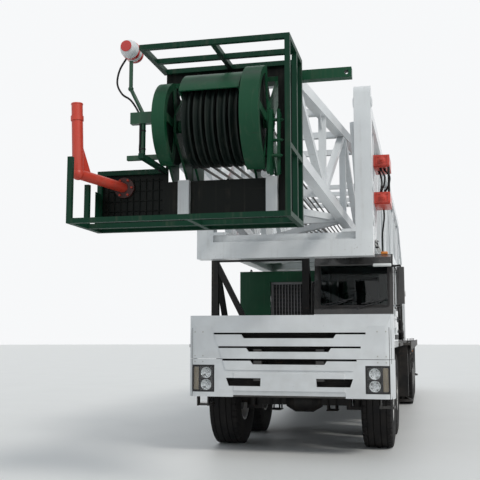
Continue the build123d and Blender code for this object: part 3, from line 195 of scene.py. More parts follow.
def sweep(path, profile, closed=False, level=None):
    """A closed profile carried along a path: each profile point (a, b) stands a to the path's
    side and b along the normal of the plane that the path lies in, or along level."""
    path = np.asarray(path, float)
    path = path[np.linalg.norm(path - np.roll(path, 1, 0), axis=1) > 1e-6]
    ahead = np.roll(path, -1, 0) - np.roll(path, 1, 0) if closed else np.gradient(path, axis=0)
    ahead /= np.linalg.norm(ahead, axis=1, keepdims=True)
    if level is None:
        level = np.linalg.svd(ahead - ahead.mean(0) if len(path) > 2 else ahead)[2][-1]
        if abs(ahead @ level).max() > 0.9:
            level = np.linalg.svd(ahead)[2][-1]
    side = np.cross(ahead, np.asarray(level, float))
    side /= np.linalg.norm(side, axis=1, keepdims=True)
    up = np.cross(side, ahead)
    profile = np.asarray(profile, float)
    points = path[:, None] + side[:, None] * profile[None, :, :1] + up[:, None] * profile[None, :, 1:]
    return skin(points, wrap_rows=closed)


def circle(radius, sides=10):
    """A round profile."""
    angle = np.linspace(0, 2 * np.pi, sides, endpoint=False)
    return radius * np.stack([np.cos(angle), np.sin(angle)], -1)


def flat(wide, thick):
    """A flat strip's profile."""
    return np.array([(-wide, -thick), (wide, -thick), (wide, thick), (-wide, thick)]) / 2


def tube(path, radius, sides=8, **rest):
    """A round bar along a path."""
    return sweep(path, circle(radius, sides), **rest)


def rounded(corners, radius, steps=6):
    """A path of straight runs whose corners are cut round: in each, the points follow
    a parabola from radius before the corner to radius after it."""
    corners = np.asarray(corners, float)
    inner, before, after = corners[1:-1], corners[:-2], corners[2:]
    start = inner + radius * (before - inner) / np.linalg.norm(before - inner, axis=1, keepdims=True)
    end = inner + radius * (after - inner) / np.linalg.norm(after - inner, axis=1, keepdims=True)
    t = np.linspace(0, 1, steps)[None, :, None]
    bends = (1 - t) ** 2 * start[:, None] + 2 * t * (1 - t) * inner[:, None] + t ** 2 * end[:, None]
    return np.concatenate([corners[:1], bends.reshape(-1, corners.shape[1]), corners[-1:]])


def curve_through(knots, steps=8):
    """A smooth path through knots: between two of them each point is the cubic blend of the
    four nearest knots."""
    k = np.asarray(knots, float)
    k = np.concatenate([[2 * k[0] - k[1]], k, [2 * k[-1] - k[-2]]])
    a, b, c, d = k[:-3, None], k[1:-2, None], k[2:-1, None], k[3:, None]
    t = np.linspace(0, 1, steps, endpoint=False)[None, :, None]
    square, cube = (2 * a - 5 * b + 4 * c - d) * t ** 2, (3 * b - a - 3 * c + d) * t ** 3
    return np.concatenate([(0.5 * (2 * b + (c - a) * t + square + cube)).reshape(-1, 3), k[-2:-1]])


def prism(outline, thick, axis=0, at=0.0):
    """A flat outline of (p, q) pairs with a thickness along X, Y or Z, its middle at a place."""
    outline = np.asarray(outline, float)
    faces = (at - thick / 2, at + thick / 2)
    return skin(np.stack([np.insert(outline, axis, face, axis=1) for face in faces]))


def loop(low, high, radius, steps=6):
    """A rectangle's outline between two corners, with round corners."""
    turn = np.arange(4)[:, None] * np.pi / 2 + np.linspace(0, np.pi / 2, steps)
    signs = np.array([(1, 1), (-1, 1), (-1, -1), (1, -1)])[:, None]
    low, high = np.asarray(low, float), np.asarray(high, float)
    round_part = radius * np.stack([np.cos(turn), np.sin(turn)], -1)
    return ((low + high) / 2 + signs * ((high - low) / 2 - radius) + round_part).reshape(-1, 2)


def rim(low, high, radius, width, span, axis=1):
    """A flat frame: the outline between two corners and the same outline drawn in by width,
    joined over a span along the axis."""
    outer = loop(low, high, radius)
    inner = loop(np.add(low, width), np.subtract(high, width), max(radius - width, 0.004))
    near, far = span
    corners = [np.insert(edge, axis, at, axis=1)
               for edge, at in ((outer, near), (outer, far), (inner, far), (inner, near))]
    return skin(np.stack(corners, 1), wrap_rows=True)


def soft_box(low, high, radius, steps=3):
    """A box with rounded edges: each point is a corner of the inner box plus radius times the
    outward normal, where the normal runs over a sphere one eighth at a time."""
    low, high = np.asarray(low, float), np.asarray(high, float)
    arc = np.linspace(0, np.pi / 2, steps)
    lift = np.concatenate([arc - np.pi / 2, arc])[:, None]
    rise = np.repeat([-1.0, 1.0], steps)[:, None]
    turn = (np.arange(4)[:, None] * np.pi / 2 + arc[None]).ravel()
    quarter = np.repeat(np.arange(4), steps)
    right, rear = np.array([1, -1, -1, 1])[quarter], np.array([1, 1, -1, -1])[quarter]
    whole = np.ones_like(turn)
    normal = np.stack([np.cos(lift) * np.cos(turn), np.cos(lift) * np.sin(turn), np.sin(lift) * whole], -1)
    signs = np.stack(np.broadcast_arrays(right * 1.0, rear * 1.0, rise * whole), -1)
    return skin((low + high) / 2 + signs * ((high - low) / 2 - radius) + radius * normal)


def bolt(size=0.018):
    """A hexagon nut with its stud, standing along +X from 0."""
    nut = lathe([(0, size * 0.5), (size * 0.62, size * 0.5), (size * 0.7, size * 0.42)], sides=6)
    stud = lathe([(size * 0.5, size * 0.27), (size * 0.98, size * 0.27), (size * 1.08, size * 0.18)], sides=8)
    return merge(nut, stud)


# Finishes

def add(tree, kind, inputs=None, **settings):
    """A node of that kind. Settings are its own properties; an input that is a socket is linked."""
    made = tree.nodes.new(kind)
    for key, value in settings.items():
        setattr(made, key, value)
    for key, value in (inputs or {}).items():
        if isinstance(value, bpy.types.NodeSocket):
            tree.links.new(value, made.inputs[key])
        else:
            made.inputs[key].default_value = value
    return made


def group(name, inputs, outputs):
    """An empty node group with named sockets. Returns it with its input and output nodes."""
    tree = bpy.data.node_groups.new(name, "ShaderNodeTree")
    for label, kind, value in inputs:
        socket = tree.interface.new_socket(name=label, in_out="INPUT", socket_type=f"NodeSocket{kind}")
        socket.default_value = value
    for label, kind in outputs:
        tree.interface.new_socket(name=label, in_out="OUTPUT", socket_type=f"NodeSocket{kind}")
    return tree, tree.nodes.new("NodeGroupInput").outputs, tree.nodes.new("NodeGroupOutput").inputs


def blank(name):
    """A new material, its node tree and its shader."""
    material = bpy.data.materials.new(name)
    material.use_nodes = True
    return material, material.node_tree, material.node_tree.nodes["Principled BSDF"]


def here(tree):
    """The place on the object."""
    return add(tree, "ShaderNodeTexCoord").outputs["Object"]


def ramp(tree, value, low, high, to_low=0.0, to_high=1.0):
    """A value stretched between two limits and held there."""
    return add(tree, "ShaderNodeMapRange", {"Value": value, "From Min": low, "From Max": high,
                                            "To Min": to_low, "To Max": to_high}).outputs[0]


def times(tree, a, b, operation="MULTIPLY"):
    """Two values multiplied, or another operation on them."""
    return add(tree, "ShaderNodeMath", {0: a, 1: b}, operation=operation).outputs[0]


def blend(tree, mask, a, b, mode="MIX"):
    """Colour a with colour b laid over it through a mask."""
    return add(tree, "ShaderNodeMix", {0: mask, 6: a, 7: b}, data_type="RGBA", blend_type=mode).outputs[2]


def noise(tree, where, scale, detail=3.0, stretch=None):
    """A cloudy pattern of 0 to 1 at a scale per metre, stretched where asked."""
    if stretch:
        where = add(tree, "ShaderNodeMapping", {"Vector": where, "Scale": stretch}).outputs[0]
    return add(tree, "ShaderNodeTexNoise", {"Vector": where, "Scale": scale, "Detail": detail}).outputs[0]


def weathered_group():
    """Road weather: broad shade changes, dust that thickens towards the ground, rain streaks
    and a fine grain."""
    tree, given, out = group("road_weather", [
        ("Colour", "Color", (0.8, 0.8, 0.8, 1)), ("Dust", "Color", (0.24, 0.2, 0.16, 1)),
        ("Dust Amount", "Float", 0.3), ("Streaks", "Float", 0.3), ("Roughness", "Float", 0.4),
        ("Grain Scale", "Float", 160.0)], [("Colour", "Color"), ("Roughness", "Float"), ("Height", "Float")])
    where = here(tree)
    height = add(tree, "ShaderNodeSeparateXYZ", {0: where}).outputs[2]
    broad = noise(tree, where, 1.3, 4.0)
    fine = noise(tree, where, given["Grain Scale"], 2.0)
    patch = noise(tree, where, 7.0, 5.0)
    streak = ramp(tree, noise(tree, where, 1.0, 3.0, (26.0, 26.0, 0.9)), 0.5, 0.72)
    faded = ramp(tree, broad, 0.35, 0.7, 0.0, 0.35)
    shade = blend(tree, faded, given["Colour"], (0.55, 0.56, 0.58, 1), "MULTIPLY")
    near_road = ramp(tree, height, 0.4, 2.6, 1.0, 0.12)
    dusty = times(tree, times(tree, near_road, ramp(tree, patch, 0.3, 0.75)), given["Dust Amount"])
    runs = times(tree, times(tree, streak, ramp(tree, patch, 0.35, 0.65)), given["Streaks"])
    dirt = times(tree, dusty, runs, "MAXIMUM")
    tree.links.new(blend(tree, dirt, shade, given["Dust"]), out["Colour"])
    rough = times(tree, given["Roughness"], ramp(tree, fine, 0.3, 0.7, -0.05, 0.07), "ADD")
    tree.links.new(times(tree, rough, times(tree, dirt, 0.45), "ADD"), out["Roughness"])
    grainy = times(tree, fine, times(tree, patch, 0.6), "ADD")
    tree.links.new(grainy, out["Height"])
    return tree


def wear_group():
    """Scuffs: long thin scratches and small chips, as a mask of 0 to 1."""
    inputs = [("Amount", "Float", 0.4), ("Size", "Float", 1.0)]
    tree, given, out = group("scuffs", inputs, [("Mask", "Float")])
    where = here(tree)
    sizing = {0: where, "Scale": given["Size"]}
    sized = add(tree, "ShaderNodeVectorMath", sizing, operation="SCALE").outputs[0]
    chips = ramp(tree, noise(tree, sized, 42.0, 6.0), 0.66, 0.7)
    lines = ramp(tree, noise(tree, sized, 3.0, 6.0, (1.0, 9.0, 14.0)), 0.69, 0.72)
    area = ramp(tree, noise(tree, sized, 2.2, 2.0), 0.42, 0.62)
    mask = times(tree, times(tree, chips, lines, "MAXIMUM"), area)
    tree.links.new(times(tree, mask, given["Amount"]), out["Mask"])
    return tree


def tread_plate_group():
    """Raised lozenges of a grip plate: two crossed sine waves, cut off so that only crests stand."""
    tree, given, out = group("grip_plate", [("Pitch", "Float", 0.05)], [("Height", "Float")])
    parts = add(tree, "ShaderNodeSeparateXYZ", {0: here(tree)}).outputs
    level = times(tree, parts[1], parts[2], "ADD")
    turn = times(tree, 6.2832, given["Pitch"], "DIVIDE")
    rows = add(tree, "ShaderNodeMath", {0: times(tree, parts[0], turn)}, operation="SINE").outputs[0]
    cols = add(tree, "ShaderNodeMath", {0: times(tree, level, turn)}, operation="SINE").outputs[0]
    tree.links.new(ramp(tree, times(tree, rows, cols), 0.35, 0.6), out["Height"])
    return tree


WEATHER, WEAR, GRIP = weathered_group(), wear_group(), tread_plate_group()


def finish(name, colour, rough, dust=0.3, streaks=0.2, grain=160.0, bump=0.06, chips=0.0,
           chip_colour=(0.1, 0.09, 0.08), grip=False, mask=None, **shader):
    """A weathered finish. Mask is a function that lays other colours over the base colour; the
    words left over are the shader's own sockets."""
    material, tree, principled = blank(name)
    for key, value in shader.items():
        principled.inputs[key.replace("_", " ")].default_value = value
    base = mask(tree, colour) if mask else (*colour, 1)
    weather = add(tree, "ShaderNodeGroup", {"Colour": base, "Dust Amount": dust, "Streaks": streaks,
                                            "Roughness": rough, "Grain Scale": grain}, node_tree=WEATHER)
    shown = weather.outputs["Colour"]
    if chips:
        scuffs = add(tree, "ShaderNodeGroup", {"Amount": chips}, node_tree=WEAR)
        shown = blend(tree, scuffs.outputs["Mask"], shown, (*chip_colour, 1))
    tree.links.new(shown, principled.inputs["Base Color"])
    tree.links.new(weather.outputs["Roughness"], principled.inputs["Roughness"])
    relief = weather.outputs["Height"]
    if grip:
        plate = add(tree, "ShaderNodeGroup", node_tree=GRIP)
        relief = times(tree, times(tree, relief, 0.25), plate.outputs["Height"], "ADD")
    lump = add(tree, "ShaderNodeBump", {"Height": relief, "Strength": bump, "Distance": 0.004})
    tree.links.new(lump.outputs["Normal"], principled.inputs["Normal"])
    return material


def clear(name, colour):
    """Clear glass with a thin film of dust that dulls it in patches."""
    material, tree, principled = blank(name)
    principled.inputs["Transmission Weight"].default_value = 1.0
    principled.inputs["IOR"].default_value = 1.45
    film = {"Colour": (*colour, 1), "Dust": (0.35, 0.33, 0.3, 1), "Dust Amount": 0.1, "Streaks": 0.1,
            "Roughness": 0.02}
    weather = add(tree, "ShaderNodeGroup", film, node_tree=WEATHER)
    tree.links.new(weather.outputs["Colour"], principled.inputs["Base Color"])
    dulled = ramp(tree, weather.outputs["Roughness"], 0.0, 1.0, 0.0, 0.4)
    tree.links.new(dulled, principled.inputs["Roughness"])
    return material


def past(tree, normal, offset):
    """1 beyond a plane, in the row frame, and 0 before it."""
    along = add(tree, "ShaderNodeVectorMath", {0: here(tree), 1: normal}, operation="DOT_PRODUCT")
    return times(tree, along.outputs["Value"], offset, "GREATER_THAN")


def over(*regions):
    """A finish mask. Each region is a colour and its planes: the colour lies beyond all of them."""
    def lay(tree, colour):
        """The base colour with each region's colour laid over it in turn."""
        shown = (*colour, 1)
        for other, planes in regions:
            inside = [past(tree, normal, offset) for normal, offset in planes]
            mask = inside[0]
            for one in inside[1:]:
                mask = times(tree, mask, one)
            shown = blend(tree, mask, shown, (*other, 1))
        return shown
    return lay


WHITE, GREEN, BLACK, RED = (0.76, 0.78, 0.79), (0.0015, 0.06, 0.024), (0.01, 0.01, 0.011), (0.62, 0.06, 0.035)
GREASE, RUST = (0.03, 0.025, 0.02), (0.16, 0.07, 0.035)
ENAMEL = dict(dust=0.2, streaks=0.12, bump=0.02, chips=0.15, Coat_Roughness=0.08)
LENS = dict(dust=0.1, streaks=0.0, bump=0.1)
DOWN = (0, 0, -1)

# Planes that part two colours, in the row frame
SILL_Z = 1.76
SLOPE = 0.13 / 0.67         # how far the windscreen leans back for each metre up
CAB_FRONT = [((0, -1, SLOPE), 5.0945 + SLOPE * SILL_Z), (UP, 1.7)]
CAB_OUTSIDE = [(ACROSS, box("cab_door")[1][0] + 0.0005)]
# Painted shade: within the grille's width and below 1.54 m, nose and bumper surfaces behind the front face
# are painted black so that their slots look dark inside
NOSE_SLOT_SHADE = [(ACROSS, -1.2), ((-1, 0, 0), -1.2), (REARWARD, -5.2385), (DOWN, -1.54)]
UNDER_BUMPER = [(DOWN, -0.703)]
# Painted shade: a thin slab in front of the platform plate, whose face is painted nearly black
PLATE_FACE_SHADE = [(REARWARD, -8.177), (FORWARD, 8.1515)]
# Painted shade: the red arm's foot, next to the platform plate, is painted a nearly black red like the
# plate's face
DAVIT_FOOT_SHADE = [(REARWARD, -8.197)]
BEACON_HEAD = [(UP, 3.81)]
SCREWS = [(DOWN, -0.758)]

PAINTS = {
    "white_paint": finish("white_enamel", WHITE, 0.3, dust=0.22, bump=0.03, chips=0.3, chip_colour=RUST,
                          Coat_Weight=0.3, Coat_Roughness=0.12),
    "cab_paint": finish("cab_enamel", WHITE, 0.28, Coat_Weight=0.5,
                        mask=over((BLACK, CAB_FRONT), (BLACK, CAB_OUTSIDE)), **ENAMEL),
    # The front's white, with painted shade (black) inside the slots behind the front face, and black below
    # the bumper
    "front_paint": finish("front_enamel_slot_shade", (0.7, 0.72, 0.735), 0.3, Coat_Weight=0.3,
                          mask=over((BLACK, NOSE_SLOT_SHADE), (BLACK, UNDER_BUMPER)), **ENAMEL),
    "green_paint": finish("green_enamel", GREEN, 0.42, dust=0.05, streaks=0.1, bump=0.05, chips=0.3,
                          chip_colour=GREASE, Specular_IOR_Level=0.28),
    # Painted shade: the platform's green is darker than the green paint, and the plate's face darker still,
    # as the platform stands in shade
    "plate_paint": finish("platform_green_painted_shade", (0.002, 0.036, 0.018), 0.45, dust=0.03, streaks=0.12, bump=0.05,
                          chips=0.3, chip_colour=GREASE, Specular_IOR_Level=0.18,
                          mask=over(((0.001, 0.0035, 0.0025), PLATE_FACE_SHADE))),
    "black_paint": finish("chassis_black", BLACK, 0.48, dust=0.12, bump=0.1, chips=0.4, chip_colour=RUST,
                          Specular_IOR_Level=0.25),
    "deck_plate": finish("deck_grip_plate", (0.03, 0.03, 0.032), 0.52, dust=0.35, streaks=0.0, bump=0.6,
                         chips=0.5, chip_colour=(0.22, 0.21, 0.2), grip=True),
    "red_paint": finish("signal_red", RED, 0.36, dust=0.12, streaks=0.15, bump=0.04, chips=0.4,
                        Coat_Weight=0.3, Coat_Roughness=0.15),
    # The red arm, with painted shade on its foot by the plate
    "davit_paint": finish("davit_red_foot_shade", (0.6, 0.055, 0.03), 0.4, dust=0.08, streaks=0.15, bump=0.04, chips=0.4,
                          mask=over(((0.045, 0.006, 0.005), DAVIT_FOOT_SHADE))),
    "beacon_paint": finish("beacon_white", GREEN, 0.35, dust=0.2, mask=over((WHITE, BEACON_HEAD))),
    "base_paint": finish("base_enamel", WHITE, 0.32, dust=0.28, streaks=0.3, bump=0.04, chips=0.45,
                         chip_colour=RUST, mask=over(((0.2, 0.2, 0.2), SCREWS))),
    "rim_paint": finish("rim_enamel", (0.7, 0.7, 0.69), 0.38, dust=0.45, streaks=0.0, bump=0.05, chips=0.5,
                        chip_colour=RUST),
    "tyre_rubber": finish("tyre_rubber", (0.007, 0.007, 0.008), 0.82, dust=0.05, streaks=0.0, grain=400.0,
                          bump=0.2, Specular_IOR_Level=0.25),
    "soft_rubber": finish("soft_rubber", (0.012, 0.012, 0.013), 0.65, dust=0.15, streaks=0.0, grain=300.0,
                          bump=0.1, Specular_IOR_Level=0.3),
    "trim": finish("moulded_trim", (0.03, 0.03, 0.033), 0.58, dust=0.06, streaks=0.0, grain=500.0, bump=0.25,
                   Specular_IOR_Level=0.3),
    "seat_cloth": finish("seat_cloth", (0.07, 0.075, 0.085), 0.85, dust=0.1, streaks=0.0, grain=900.0,
                         bump=0.5, Sheen_Weight=0.3),
    "bare_steel": finish("bare_steel", (0.28, 0.28, 0.29), 0.42, streaks=0.3, bump=0.1, chips=0.6,
                         chip_colour=RUST, Metallic=0.8),
    "burnt_steel": finish("burnt_steel", (0.17, 0.12, 0.095), 0.62, dust=0.2, streaks=0.5, bump=0.2,
                          chips=0.8, chip_colour=RUST, Metallic=0.6),
    "engine_paint": finish("engine_grey", (0.09, 0.1, 0.11), 0.5, dust=0.5, streaks=0.4, bump=0.15,
                           chips=0.4),
    # Painted shade: the crown sheaves' green is nearly black, for the sheave cluster that lies in shadow
    "sheave_steel": finish("sheave_green_painted_shade", (0.003, 0.009, 0.007), 0.55, dust=0.05, streaks=0.1, bump=0.08,
                           chips=0.4, chip_colour=(0.06, 0.06, 0.06), Specular_IOR_Level=0.25),
    "zinc": finish("zinc_plate", (0.5, 0.5, 0.48), 0.38, streaks=0.1, Metallic=0.85),
    "rod_chrome": finish("rod_chrome", (0.78, 0.79, 0.8), 0.12, dust=0.06, streaks=0.0, bump=0.01,
                         Metallic=1.0),
    "cylinder_paint": finish("cylinder_black", BLACK, 0.35, dust=0.12, bump=0.03, chips=0.4,
                             Specular_IOR_Level=0.35),
    "wire_rope": finish("wire_rope", (0.14, 0.13, 0.12), 0.5, streaks=0.0, bump=0.2, Metallic=0.7),
    "mirror_face": finish("mirror_face", (0.9, 0.9, 0.9), 0.06, dust=0.05, streaks=0.0, bump=0.0,
                          Metallic=1.0),
    "amber": finish("amber_lens", (0.8, 0.25, 0.02), 0.2, Coat_Weight=0.6, **LENS),
    "turn_lens": finish("turn_lens", (0.5, 0.4, 0.28), 0.2, Coat_Weight=0.5, **LENS),
    "red_lens": finish("red_lens", (0.55, 0.02, 0.015), 0.2, Coat_Weight=0.6, **LENS),
    "pale_lens": finish("pale_lens", (0.75, 0.77, 0.76), 0.15, Coat_Weight=0.6, **LENS),
    "glass": clear("tinted_glass", (0.16, 0.2, 0.2)),
    "lamp_cover": clear("lamp_cover", (0.9, 0.92, 0.92)),
}
# CAD nodes whose finish isn't the one named after their record slot
OTHER = {"lamps": "pale_lens", "nose": "front_paint", "bumper": "front_paint", "cab_shell": "cab_paint",
         "cab_door": "cab_paint", "deck": "deck_plate", "davit": "davit_paint", "beacon": "beacon_paint",
         "crown_platform": "plate_paint", "mast_base": "base_paint", "exhausts": "burnt_steel",
         "engine_block": "engine_paint", "crown_sheaves": "sheave_steel"}
RECORD_SLOT = {part["node"]: part["material_slot"] for part in frame["record"]["subparts"]}
for node_name, node_object in NODES.items():
    coat = PAINTS[OTHER.get(node_name, RECORD_SLOT[node_name])]
    if node_object.material_slots:
        for place in node_object.material_slots:
            place.material = coat
    else:
        node_object.data.materials.append(coat)


def solid(name, shape):
    """A mesh of the shape, as an object in the scene."""
    points, faces = shape
    mesh = bpy.data.meshes.new(name)
    mesh.from_pydata(points.tolist(), [], [face for quads in faces for face in quads.tolist()])
    made = bpy.data.objects.new(name, mesh)
    bpy.context.scene.collection.objects.link(made)
    return made, mesh


def piece(name, shape, body, paint, slot=None, stands_for=(), angle=38.0):
    """A finished mesh that rides on a body. The shape's stations become row places here."""
    made, mesh = solid(name, moved(shape, (0, FRONT_Y, 0)))
    mesh.shade_smooth()
    mesh.set_sharp_from_angle(angle=math.radians(angle))
    mesh.materials.append(PAINTS[paint])
    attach(made, body)
    if stands_for:
        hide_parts(*stands_for)
    return made


def dress(body, paint, **rest):
    """Makes a piece of the shape that the function below gives, under the function's name."""
    def keep(shape_of):
        """Makes the piece and hands the function back as it is."""
        piece(shape_of.__name__, shape_of(), body, paint, **rest)
        return shape_of
    return keep


# Wheels

def tyre(width, ribs, lugs, open_from):
    """A tyre at the origin. Round the section the radius comes from a table; in the tread it is
    less by the groove depth on a rib groove, and outside open_from between two lugs. The lugs of
    one half stand half a lug further round."""
    # columns: share of the half-width, radius
    wall = np.array([(0.83, 0.287), (0.9, 0.3), (0.962, 0.345), (0.992, 0.4), (1.0, 0.445), (0.994, 0.47),
                     (0.985, 0.476), (0.99, 0.5), (0.955, 0.545), (0.925, 0.57), (0.9, 0.584), (0.87, 0.594)])
    groove = np.array([-0.034, -0.026, 0.026, 0.034])
    share = np.concatenate([[0.84], (np.asarray(ribs)[:, None] - groove).ravel(), [-0.84]])
    sunk = np.concatenate([[0], np.tile([0, 1, 1, 0], len(ribs)), [0]])
    share = np.concatenate([wall[:, 0], share, -wall[::-1, 0]])
    radius = np.concatenate([wall[:, 1], np.full(len(sunk), TYRE_R), wall[::-1, 1]])
    sunk = np.concatenate([np.zeros(len(wall)), sunk, np.zeros(len(wall))])
    open_part = (np.abs(share) > open_from) & (radius > 0.575)
    # columns: share of a lug's pitch, 1 on the gap's floor and 0 on the lug
    pitch = np.array([(0.0, 1.0), (0.05, 0.0), (0.68, 0.0), (0.73, 1.0)])
    turn = (np.arange(lugs)[:, None] + pitch[:, 0]).ravel()
    low = np.tile(pitch[:, 1], lugs)
    angle = (turn[:, None] + 0.5 * (share < 0)) * 2 * np.pi / lugs
    reach = radius - 0.013 * np.maximum(sunk, low[:, None] * open_part)
    across = np.broadcast_to(share * width / 2, reach.shape)
    return skin(np.stack([across, reach * np.cos(angle), reach * np.sin(angle)], -1), wrap_rows=True)


def hub_face(x):
    """Ten wheel nuts round a stepped cap on a hub's flat end at x."""
    cap = lathe([(x, 0.084), (x + 0.012, 0.084), (x + 0.014, 0.07), (x + 0.03, 0.066), (x + 0.036, 0.055),
                 (x + 0.037, 0.002)])
    return merge(copies(bolt(0.03), ring((x, 0, 0), 0.118, 10)), cap)


def flange(x):
    """The rim's rolled edge and its lock ring at x, outboard."""
    section = [(x - 0.012, 0.262), (x, 0.268), (x + 0.006, 0.28), (x + 0.002, 0.292), (x - 0.006, 0.294),
               (x - 0.012, 0.286)]
    lock = [(x - 0.03, 0.262), (x - 0.02, 0.256), (x - 0.014, 0.262), (x - 0.02, 0.266)]
    return merge(lathe(section, sides=48, closed=True), lathe(lock, sides=48, closed=True))


def wheel_set(axles, kind, node, tyres, nut_x, flange_x):
    """The tyres, nuts and flanges of each wheel on these axles; the right ones are mirror images.
    The hub's flat end is nut_x and the rim's edge flange_x outboard of the tyres' middle."""
    for axle, centre in axles.items():
        for letter, side in SIDES.items():
            tag = axle + letter
            tread, nuts, edge = (shape if side > 0 else mirrored(shape) for shape in (
                moved(tyres, centre), moved(hub_face(nut_x), centre), moved(flange(flange_x), centre)))
            body = f"{kind}_{tag}"
            piece(f"tread_{tag}", tread, body, "tyre_rubber", stands_for=[f"{node}_{tag}"], angle=25)
            piece(f"wheel_nuts_{tag}", nuts, body, "zinc")
            piece(f"rim_flange_{tag}", edge, body, "rim_paint")


STEER_W, DRIVE_W = np.ptp(box("tyre_1l"), axis=0)[0], 0.3
TWIN_STEP = (np.ptp(box("twin_tyres_3l"), axis=0)[0] - DRIVE_W) / 2     # a twin's middle from the pair's
STEER_TYRE = tyre(STEER_W, (0.6, 0.22, -0.22, -0.6), 44, 0.66)
TWIN_TYRES = copies(tyre(DRIVE_W, (0.42, -0.42), 38, 0.12), [(-TWIN_STEP, 0, 0), (TWIN_STEP, 0, 0)])
wheel_set(FRONT_AXLES, "wheel", "tyre", STEER_TYRE, 0.16, 0.178)
wheel_set(REAR_AXLES, "twin", "twin_tyres", TWIN_TYRES, 0.185, 0.303)


# Running gear

@dress("truck", "black_paint")
def spring_bolts():
    """Two bolts over each leaf pack, bent square, with a clamp plate between them."""
    shapes = []
    for centres, seat in ((FRONT_AXLES.values(), 0.635), (REAR_AXLES.values(), 0.6853)):
        top = seat + 0.105
        for _, station, _ in centres:
            for y in (station - 0.09, station + 0.09):
                shapes.append(tube(rounded([(0.325, y, 0.47), (0.325, y, top), (0.435, y, top),
                                            (0.435, y, 0.47)], 0.03), 0.011))
            low, high = station - 0.11, station + 0.11
            shapes.append(soft_box((0.33, low, seat + 0.088), (0.43, high, seat + 0.1), 0.004))
            shapes.append(soft_box((0.305, low, 0.452), (0.455, high, 0.468), 0.004))
    return both(*shapes)


@dress("truck", "black_paint")
def brake_chambers():
    """Round diaphragm chambers behind each driven axle, with a clamp ring and a push rod."""
    can = [(-0.1, 0.04), (-0.095, 0.07), (-0.03, 0.082), (-0.01, 0.082), (-0.008, 0.09), (0.008, 0.09),
           (0.01, 0.082), (0.05, 0.082), (0.085, 0.066), (0.092, 0.03)]
    one = merge(lathe(can, (0.64, 0.21, 0.66), (0, 1, 0.15), 28),
                tube([(0.64, 0.07, 0.63), (0.64, 0.13, 0.648)], 0.014),
                prism([(0.06, 0.6), (0.2, 0.6), (0.2, 0.7), (0.06, 0.66)], 0.012, 0, 0.56),
                tube(curve_through([(0.64, 0.3, 0.67), (0.6, 0.36, 0.75), (0.45, 0.3, 0.9)]), 0.009))
    return both(copies(one, [(0, station, 0) for _, station, _ in REAR_AXLES.values()]))


@dress("truck", "soft_rubber", slot="tyre_rubber")
def mud_flaps():
    """Rubber flaps behind the last axle: flat sheets that curl forward towards the foot."""
    top, foot = 1.28, 0.34
    height = np.linspace(foot, top, 12)
    curl = 11.96 - 0.07 * ((top - height) / (top - foot)) ** 2
    edges = [np.stack([np.full(12, x), curl + y, height], -1)
             for x, y in ((0.76, -0.006), (1.32, -0.006), (1.32, 0.006), (0.76, 0.006))]
    return both(skin(np.stack(edges, 1)))


# Front end

def fluted(x0, x1, z0, z1, y, back, count, depth):
    """A lens with upright flutes: its front is a row of half sine waves between x0 and x1."""
    x = np.linspace(x0, x1, count * 6 + 1)
    front = y - depth * np.abs(np.sin(np.linspace(0, np.pi * count, len(x))))
    outline = np.concatenate([np.stack([x, front], -1), [(x1, back), (x0, back)]])
    return prism(outline, z1 - z0, 2, (z0 + z1) / 2)


def ribbed_sheet(half, z0, z1, y=0.1, pitch=0.024, depth=0.008):
    """A sheet with level folds: its front zigzags up between z0 and z1."""
    z = np.arange(z0, z1, pitch / 2)
    front = y + depth * (np.arange(len(z)) % 2)
    outline = np.concatenate([np.stack([front, z], -1), [(y + 0.02, z[-1]), (y + 0.02, z0)]])
    return prism(outline, 2 * half, 0)


def bowl(place, radius=0.06, depth=0.02):
    """A headlamp reflector, a thin bowl open towards the front."""
    t = np.linspace(0.05, 1, 8)
    inside = np.stack([depth * t ** 2, radius * t], -1)
    outside = inside[::-1] + (-0.003, 0.002)
    edge = [(depth + 0.001, radius + 0.006)]
    return lathe(np.concatenate([inside, edge, outside]), place, FORWARD, 32, closed=True)


# a headlamp's low and high corners, the places of its two beams, and the tail lamps' face
LAMP_LOW, LAMP_HIGH = (0.92, 0.77), (1.195, 1.085)
BEAMS = [(1.022, 0.048, 0.852), (1.022, 0.048, 0.996)]
TAIL_FACE = 14.0985


@dress("truck", "trim", stands_for=["lamps"])
def lamp_trays():
    """Trays with a bezel round each headlamp and tail lamp, and the headlamp's two bars."""
    return both(prism(loop((0.926, 0.776), (1.189, 1.079), 0.03), 0.006, 1, 0.051),
                rim(LAMP_LOW, LAMP_HIGH, 0.035, 0.014, (0.02, 0.052)),
                soft_box((1.108, 0.026, 0.785), (1.114, 0.05, 1.07), 0.002),
                soft_box((0.935, 0.026, 0.915), (1.11, 0.05, 0.925), 0.002),
                rim((0.9, 0.93), (1.18, 1.03), 0.01, 0.008, (14.075, TAIL_FACE)),
                prism(loop((0.904, 0.934), (1.176, 1.026), 0.008), 0.006, 1, 14.079))


@dress("truck", "rod_chrome")
def lamp_bowls():
    """Two reflectors on each side, a low and a high beam, with their bulbs."""
    bulb = [(-0.001, 0.002), (0.0, 0.013), (0.012, 0.013), (0.018, 0.008), (0.019, 0.002)]
    return both(*[shape for beam in BEAMS for shape in (bowl(beam), lathe(bulb, beam, FORWARD, 16))])


@dress("truck", "lamp_cover")
def lamp_covers():
    """A fluted clear cover over each headlamp."""
    return both(fluted(0.93, 1.186, 0.781, 1.074, 0.024, 0.027, 18, 0.0025))


@dress("truck", "turn_lens")
def turn_lamps():
    """The turn lamps beside the headlamps and in the tail lamps."""
    return both(fluted(1.118, 1.184, 0.79, 1.066, 0.036, 0.048, 5, 0.004),
                fluted(0.908, 0.99, 0.938, 1.022, 14.082, 14.095, 5, 0.0))


